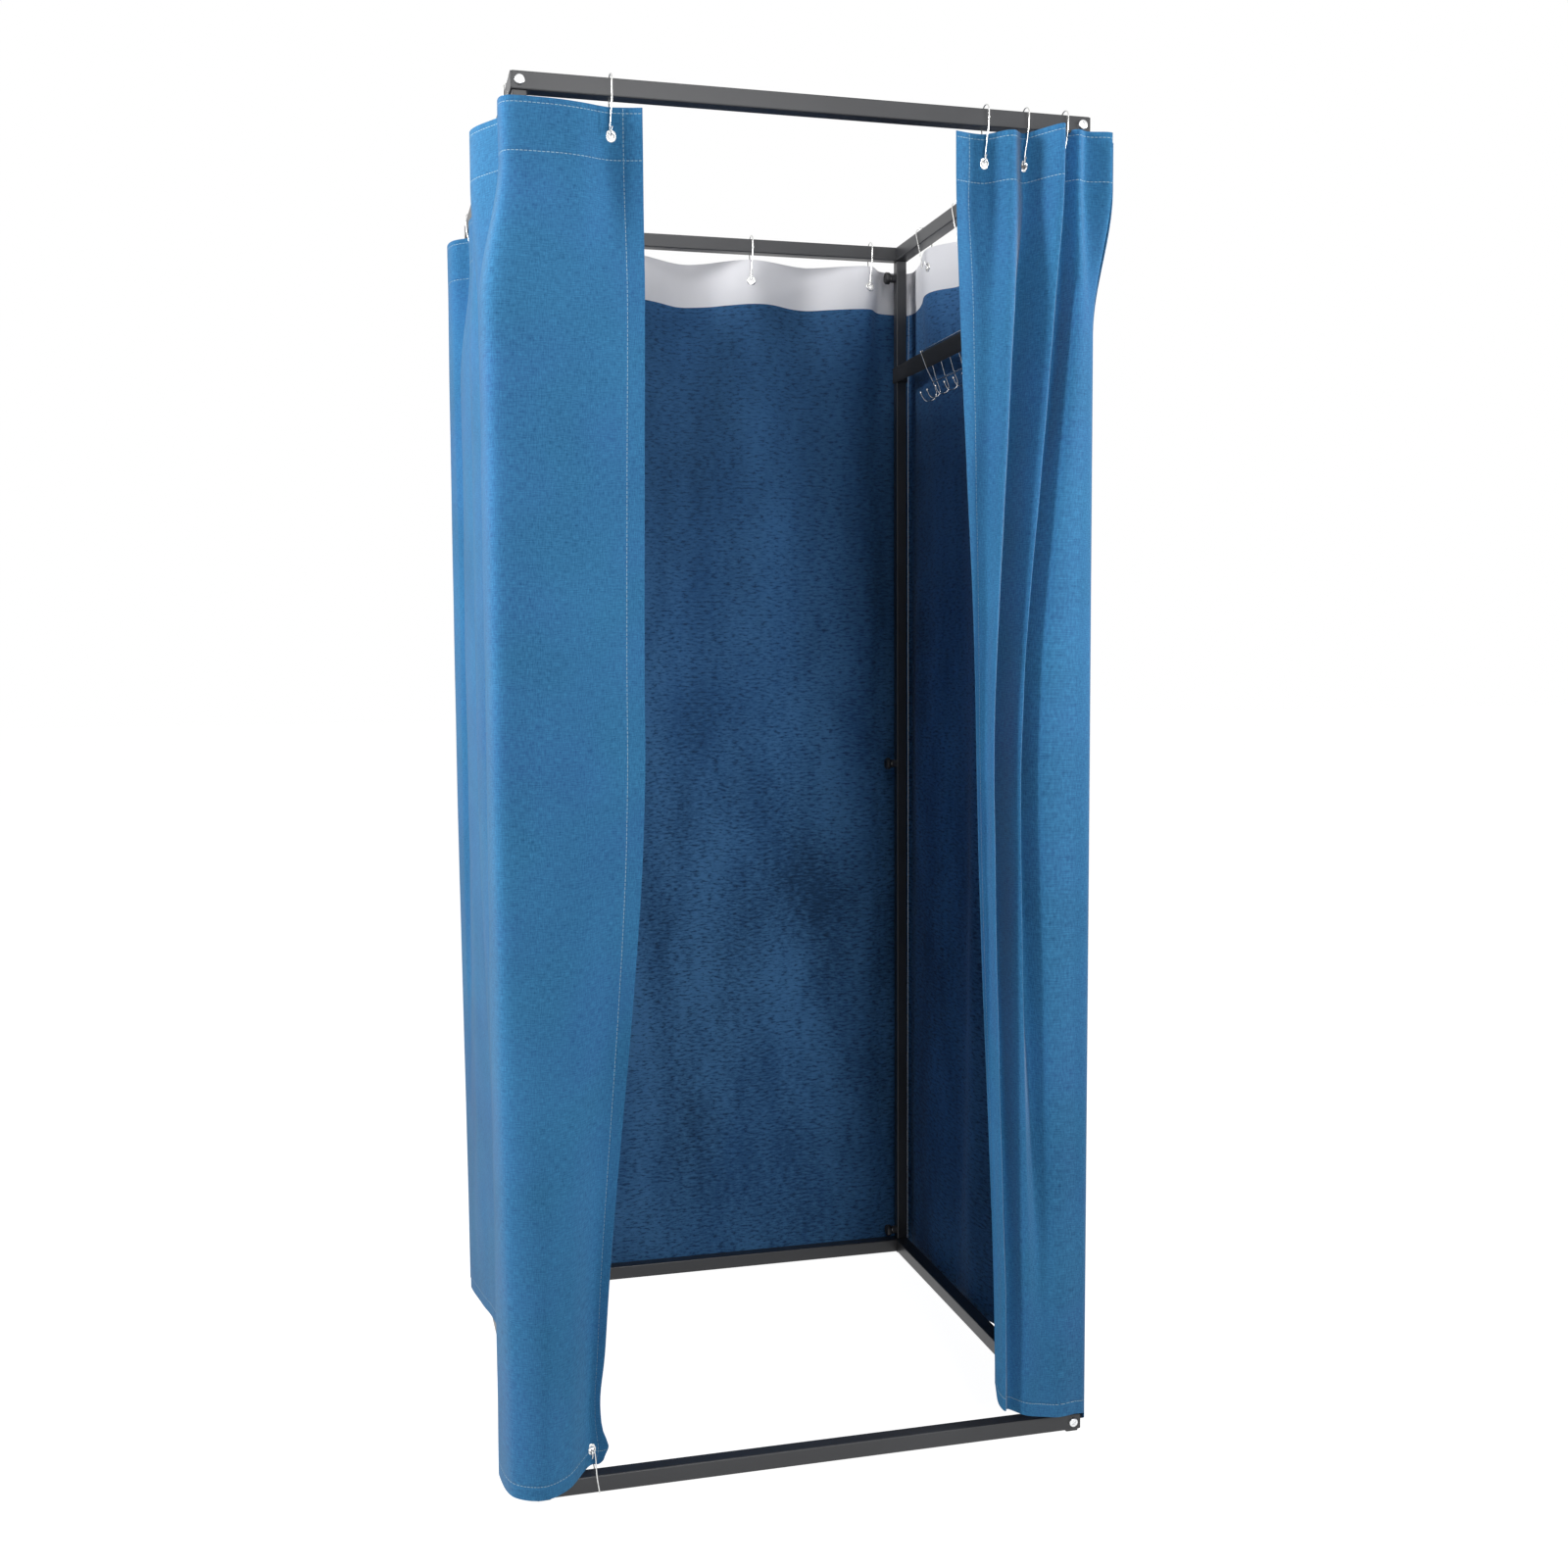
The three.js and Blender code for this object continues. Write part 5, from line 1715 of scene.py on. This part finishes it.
    @staticmethod
    def skins(alive: np.ndarray) -> tuple[list[list[int]], list[int]]:
        """Joins the points of a double sheet.

        Args:
            alive: Which cells of the sheet are cloth, as (row, column).

        Returns:
            The faces of its two skins and of the walls at its edges and holes, and their material slots.
        """
        columns = alive.shape[1] + 1
        under = (alive.shape[0] + 1) * columns
        cloth = np.pad(alive, 1)
        faces: list[list[int]] = []
        slots: list[int] = []
        for j, i in np.argwhere(alive).tolist():
            a = j * columns + i
            b, c, d = a + 1, a + columns + 1, a + columns
            faces += [[a, d, c, b], [a + under, b + under, c + under, d + under]]
            slots += [0, 1]
            for row, column, p, q in ((j, i + 1, a, b), (j + 1, i + 2, b, c), (j + 2, i + 1, c, d), (j + 1, i, d, a)):
                if not cloth[row, column]:
                    faces.append([p, q, q + under, p + under])
                    slots.append(0)
        return faces, slots

    def sheet(self, cut: CurtainCut, finishes: Finishes) -> tuple[Piece, float, float]:
        """Makes one curtain's cloth.

        Args:
            cut: The curtain.
            finishes: The finishes.

        Returns:
            The piece, its flat width and its flat length in metres.
        """
        points, out, coordinates = self.surface(cut, self.shares(), self.places(cut))
        normal = np.cross(np.gradient(points, axis=1), np.gradient(points, axis=0))
        normal /= np.linalg.norm(normal, axis=-1, keepdims=True)
        normal *= np.sign((normal * out).sum(-1, keepdims=True))
        centres = (points[:-1, :-1] + points[1:, :-1] + points[:-1, 1:] + points[1:, 1:]) / 4
        alive = np.ones(centres.shape[:2], bool)
        for eyelet in cut.eyelets:
            alive &= np.linalg.norm(centres - np.array(self.eyelet_point(cut, eyelet)), axis=-1) > self.hole_cut
        half = normal * self.wrap.thickness / 2
        skin_points = np.concatenate([(points + half).reshape(-1, 3), (points - half).reshape(-1, 3)])
        faces, slots = self.skins(alive)
        piece = make_mesh(cut.name, skin_points, faces, [finishes.cloth, finishes.lining], slots, smooth_below=60)
        flat = np.tile(coordinates.reshape(-1, 2), (2, 1)) * MM
        corner_points = np.empty(len(piece.data.loops), np.int32)
        piece.data.loops.foreach_get("vertex_index", corner_points)
        layer = piece.data.uv_layers.new(name="cloth")
        layer.data.foreach_set("uv", flat[corner_points].astype(np.float32).ravel())
        middle_row = points[len(points) // 2]
        width = float(np.linalg.norm(np.diff(middle_row, axis=0), axis=-1).sum()) * MM
        return piece, width, self.wrap.length * MM

    def eyelet_row(self, name: str, first: int, backwards: bool = False) -> tuple[EyeletPlace, ...]:
        """Lists the eyelets of a full side, on every second station line from the first."""
        row = HOOK_ROWS[name]
        order = sorted(range(len(row.places)), reverse=backwards)
        heights = [self.wrap.hooks.eyelet(row, i)[1] for i in order]
        return tuple(EyeletPlace("frame", first + 2 * k, height) for k, height in enumerate(heights))

    def cuts(self) -> list[CurtainCut]:
        """Lists the four curtains of the wrap."""
        front_left, back_left, back_right, front_right = self.wrap.corners
        hooks, last = self.wrap.hooks, self.wrap.last
        tie_height = self.wrap.sizes.foot + hooks.tie_drop * math.cos(hooks.tie_lean)
        drawn = (("right_lead", last - 1), ("right_second", last - 3), ("right_third", last - 5))
        return [
            CurtainCut(
                "left_wrap_cloth", 0, back_left, ("front_left_curtain", "left_curtain"), 1.3, Lead.START,
                (
                    EyeletPlace("left_lead", 1, hooks.eyelet(HOOK_ROWS["front_left"], 0)[1]),
                    EyeletPlace("left_lead", 1, tie_height),
                    *self.eyelet_row("left", front_left + 2),
                ),
                (*hook_names("front_left"), "bottom_tie_hook", *hook_names("left")),
                head_rises=((4, 0), (5, 2), (7, 8), (9, 2), (11, 0)),
            ),
            CurtainCut(
                "back_cloth", back_left, back_right, ("back_curtain",), 3.7, Lead.NONE,
                self.eyelet_row("back", back_left + 2), hook_names("back"),
                soft=14.0, soft_width=120.0, hem_drops=((back_left, 10), (back_right, 10)),
            ),
            CurtainCut(
                "right_cloth", back_right, front_right, ("right_curtain",), 6.2, Lead.NONE,
                self.eyelet_row("right", back_right + 2, backwards=True), hook_names("right"),
                soft=9.0, soft_width=110.0,
                hem_drops=((back_right, 14), (back_right + 2, 20), (front_right - 1, 24), (front_right, 0)),
            ),
            CurtainCut(
                "front_right_cloth", front_right, last, ("front_right_curtain",), 8.9, Lead.END,
                tuple(
                    EyeletPlace(body, place, hooks.eyelet(HOOK_ROWS["front_right"], i)[1])
                    for i, (body, place) in enumerate(drawn)
                ),
                hook_names("front_right"), lift=8.0,
                head_rises=(
                    (front_right, 6), (front_right + 1, 10), (front_right + 4, 6),
                    (last - 3, 0), (last - 1, -5), (last, -6),
                ),
            ),
        ]

    def build(self, finishes: Finishes) -> list[Piece]:
        """Makes the curtains and their eyelets.

        Args:
            finishes: The finishes.

        Returns:
            The curtains' pieces.
        """
        made = []
        for cut in self.cuts():
            piece, width, length = self.sheet(cut, finishes)
            rings = []
            for k, eyelet in enumerate(cut.eyelets):
                centre, facing = self.eyelet_point(cut, eyelet), self.eyelet_facing(cut, eyelet)
                rings.append(self.ring.build(f"{cut.name}_eyelet_{k + 1}", centre, facing, eyelet.body, finishes))
            if cut.lead is Lead.START:
                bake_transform(piece)
            elif cut.lead is Lead.END:
                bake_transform(piece)
            else:
                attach(piece, "frame")
            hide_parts(*cut.nodes)
            [f"{n}_detailed" for n in cut.rests_on]
            log.info("%s: %.3f m wide flat, %d eyelets", cut.name, width, len(rings))
            made.append(piece)
        return made


# ---- The strap and the hook rack ----


@dataclass
class AccessoryStrap:
    """A webbing strap from post to post along the right side, wrapped once round each."""

    sizes: FrameSizes
    width: float = 30.0
    thickness: float = 1.6
    height: float = 1760.0
    tail: float = 38.0
    tail_gap: float = 0.8
    bend_radius: float = 2.6
    bend_points: int = 7
    tail_step: float = 6.0
    run_step: float = 9.0
    tilt: float = 22.0
    twist_length: float = 70.0
    post_out: float = 11.05

    @property
    def reach(self) -> float:
        """How far the strap's middle stands from a post's middle."""
        return self.sizes.post / 2 + self.sizes.gap + self.thickness / 2

    @property
    def run_x(self) -> float:
        """Where the strap's straight run stands."""
        return self.sizes.line - self.reach

    def path(self) -> list[Vector]:
        """Gives the strap's middle line in plan."""
        bend, tail = self.bend_radius, self.tail
        near, far = self.sizes.line - self.reach, self.sizes.line + self.reach
        tail_x = near + self.thickness + self.tail_gap
        points: list[Vector] = []

        def straight(x0: float, y0: float, x1: float, y1: float, step: float) -> None:
            count = max(2, round(math.hypot(x1 - x0, y1 - y0) / step))
            for i in range(count):
                points.append(Vector((x0 + (x1 - x0) * i / count, y0 + (y1 - y0) * i / count, 0)))

        def turn(cx: float, cy: float, start: float, end: float) -> None:
            for a in np.radians(np.linspace(start, end, self.bend_points)):
                points.append(Vector((cx + bend * math.cos(a), cy + bend * math.sin(a), 0)))

        straight(tail_x, near - bend - tail, tail_x, near - bend, self.tail_step)
        turn(tail_x + bend, near - bend, 180, 90)
        turn(far - bend, near + bend, -90, 0)
        turn(far - bend, far - bend, 0, 90)
        turn(near + bend, far - bend, 90, 180)
        straight(near, near - bend, near, -near + bend, self.run_step)
        turn(near + bend, -far + bend, 180, 270)
        turn(far - bend, -far + bend, 270, 360)
        turn(far - bend, -near - bend, 0, 90)
        turn(tail_x + bend, -near + bend, 270, 180)
        straight(tail_x, -near + bend, tail_x, -near + bend + tail, self.tail_step)
        points.append(Vector((tail_x, -near + bend + tail, 0)))
        return [p for i, p in enumerate(points) if not i or (p - points[i - 1]).length > 0.2]

    def twist(self, point: Vector) -> float:
        """Gives how far the strap leans at a point, in radians."""
        fade = self.sizes.line - self.post_out - self.tail - abs(point.y)
        if fade <= 0 or point.x > self.run_x + 0.6:
            return 0.0
        return math.radians(self.tilt) * float(settle(fade, 0, self.twist_length))

    def build(self, finishes: Finishes) -> Piece:
        """Makes the strap.

        Args:
            finishes: The finishes.

        Returns:
            The strap's piece.
        """
        path = self.path()
        half_t, half_w = self.thickness / 2, self.width / 2

        def up(k: int) -> Vector:
            turn, way = self.twist(path[k]), way_at(path, k)
            return Vector((way.y * math.sin(turn), -way.x * math.sin(turn), math.cos(turn)))

        edge = [(0.0, 1.0), (0.6, 0.99), (1.0, 0.96), (1.0, 0.5), (1.0, 0.0), (1.0, -0.5), (1.0, -0.96), (0.6, -0.99)]
        ring = edge + [(-a, -b) for a, b in edge]
        section = [(a * half_t, b * half_w) for a, b in ring]
        form = sweep([Vector((p.x, p.y, self.height)) for p in path], lambda k: section, up)
        strap = form.build("accessory_strap_webbing", [finishes.webbing], smooth_below=50)
        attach(strap, "frame")
        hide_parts("accessory_strap")
        return strap


@dataclass
class CoatHookRack:
    """A bright wire rack that rides astride the strap: two rods, five hooks and a hook at each end."""

    strap: AccessoryStrap
    wire_radius: float = 1.25
    rod_radius: float = 1.6
    ball_radius: float = 2.6
    back_end: float = 236.0
    length: float = 224.0
    spacing: float = 46.0
    count: int = 5
    drop: float = 60.0
    stem: float = 16.0
    hook_radius: float = 12.0
    end_hook_radius: float = 15.0
    tip_rise: float = 6.0
    join_rise: float = 6.0
    join_lean: float = 0.15

    def hook(self, y: float, face: int, radius: float) -> Form:
        """Makes one wire of the rack.

        Args:
            y: Its place along the rack.
            face: The strap's face that it runs down, as 1 or -1.
            radius: Its hook's radius.

        Returns:
            The wire, with its ball tip.
        """
        width, gap = self.strap.width, self.strap.sizes.gap
        stand_off = face * (self.strap.thickness / 2 + gap + self.wire_radius)
        rod = width / 2 + gap + self.rod_radius
        bend_top = rod - self.drop - self.stem
        arc = [
            Vector((-radius + radius * math.cos(a), y, bend_top + radius * math.sin(a)))
            for a in np.radians(np.linspace(0, -180, 9))
        ]
        tip = Vector((-2 * radius, y, bend_top + self.tip_rise))
        points = [
            Vector((stand_off, y, rod + self.rod_radius / 2)),
            Vector((stand_off, y, 0)),
            Vector((stand_off, y, -width / 2 - self.wire_radius)),
            Vector((stand_off * self.join_lean, y, rod - self.drop + self.join_rise)),
            Vector((0, y, rod - self.drop)),
            *arc,
            tip,
        ]
        form = wire(rounded_line(points, 3), self.wire_radius)
        ball = lathe(
            [(self.ball_radius * math.sin(a), -self.ball_radius * math.cos(a)) for a in np.linspace(0, math.pi, 11)], 16
        )
        return form.add(ball.moved(Matrix.Translation(tip)))

    def rod(self, out: float, height: float) -> Form:
        """Makes one of the long rods."""
        reach = self.length / 2 + self.rod_radius
        path = [Vector((out, -reach + 2 * reach * i / 12, height)) for i in range(13)]
        return wire(path, self.rod_radius, 14)

    def build(self, finishes: Finishes) -> Piece:
        """Makes the rack.

        Args:
            finishes: The finishes.

        Returns:
            The rack's piece.
        """
        rod = self.strap.width / 2 + self.strap.sizes.gap + self.rod_radius
        form = self.rod(0, rod)
        form.add(self.rod(0, rod - self.drop))
        for end in (-1, 1):
            form.add(self.hook(end * self.length / 2, -1, self.end_hook_radius))
        for i in range(self.count):
            form.add(self.hook((i - (self.count - 1) / 2) * self.spacing, 1, self.hook_radius))
        middle = (self.strap.run_x, self.back_end - self.length / 2, self.strap.height)
        placed = Matrix.Translation(middle) @ Matrix.Rotation(-math.radians(self.strap.tilt), 4, "Y")
        rack = form.moved(placed).build("hook_rack_wires", [finishes.steel], smooth_below=60)
        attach(rack, "rack")
        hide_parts("hook_rack")
        return rack


# ---- Everything in order ----


def main() -> None:
    """Builds the studio and the fitting room."""
    logging.basicConfig(level=logging.INFO, format="%(name)s: %(message)s")
    log.info("studio: camera, %d soft boxes, floor and white surround", Studio().build())
    finishes = Finishes.made()
    sizes = FrameSizes()
    log.info("tube frame: %d solids dressed", TubeFrame(sizes).dress(finishes))
    log.info("clamp knobs: %d", len(ClampKnob(sizes).build(finishes)))
    log.info("pan bolts: %d", len(PanBolt(sizes).build(finishes)))
    hooks = WireHooks(sizes)
    wrap = CurtainWrap(sizes, hooks)
    curtains = Curtains(wrap, EyeletRing())
    left = curtains.cuts()[0]
    tie_place = curtains.eyelet_point(left, left.eyelets[1])
    log.info("wire hooks: %d", len(hooks.build(tie_place, finishes)))
    log.info("curtains: %d", len(curtains.build(finishes)))
    strap = AccessoryStrap(sizes)
    strap.build(finishes)
    rack = CoatHookRack(strap).build(finishes)
    log.info("hook rack: %d faces", len(rack.data.polygons))


if __name__ == "__main__":
    main()
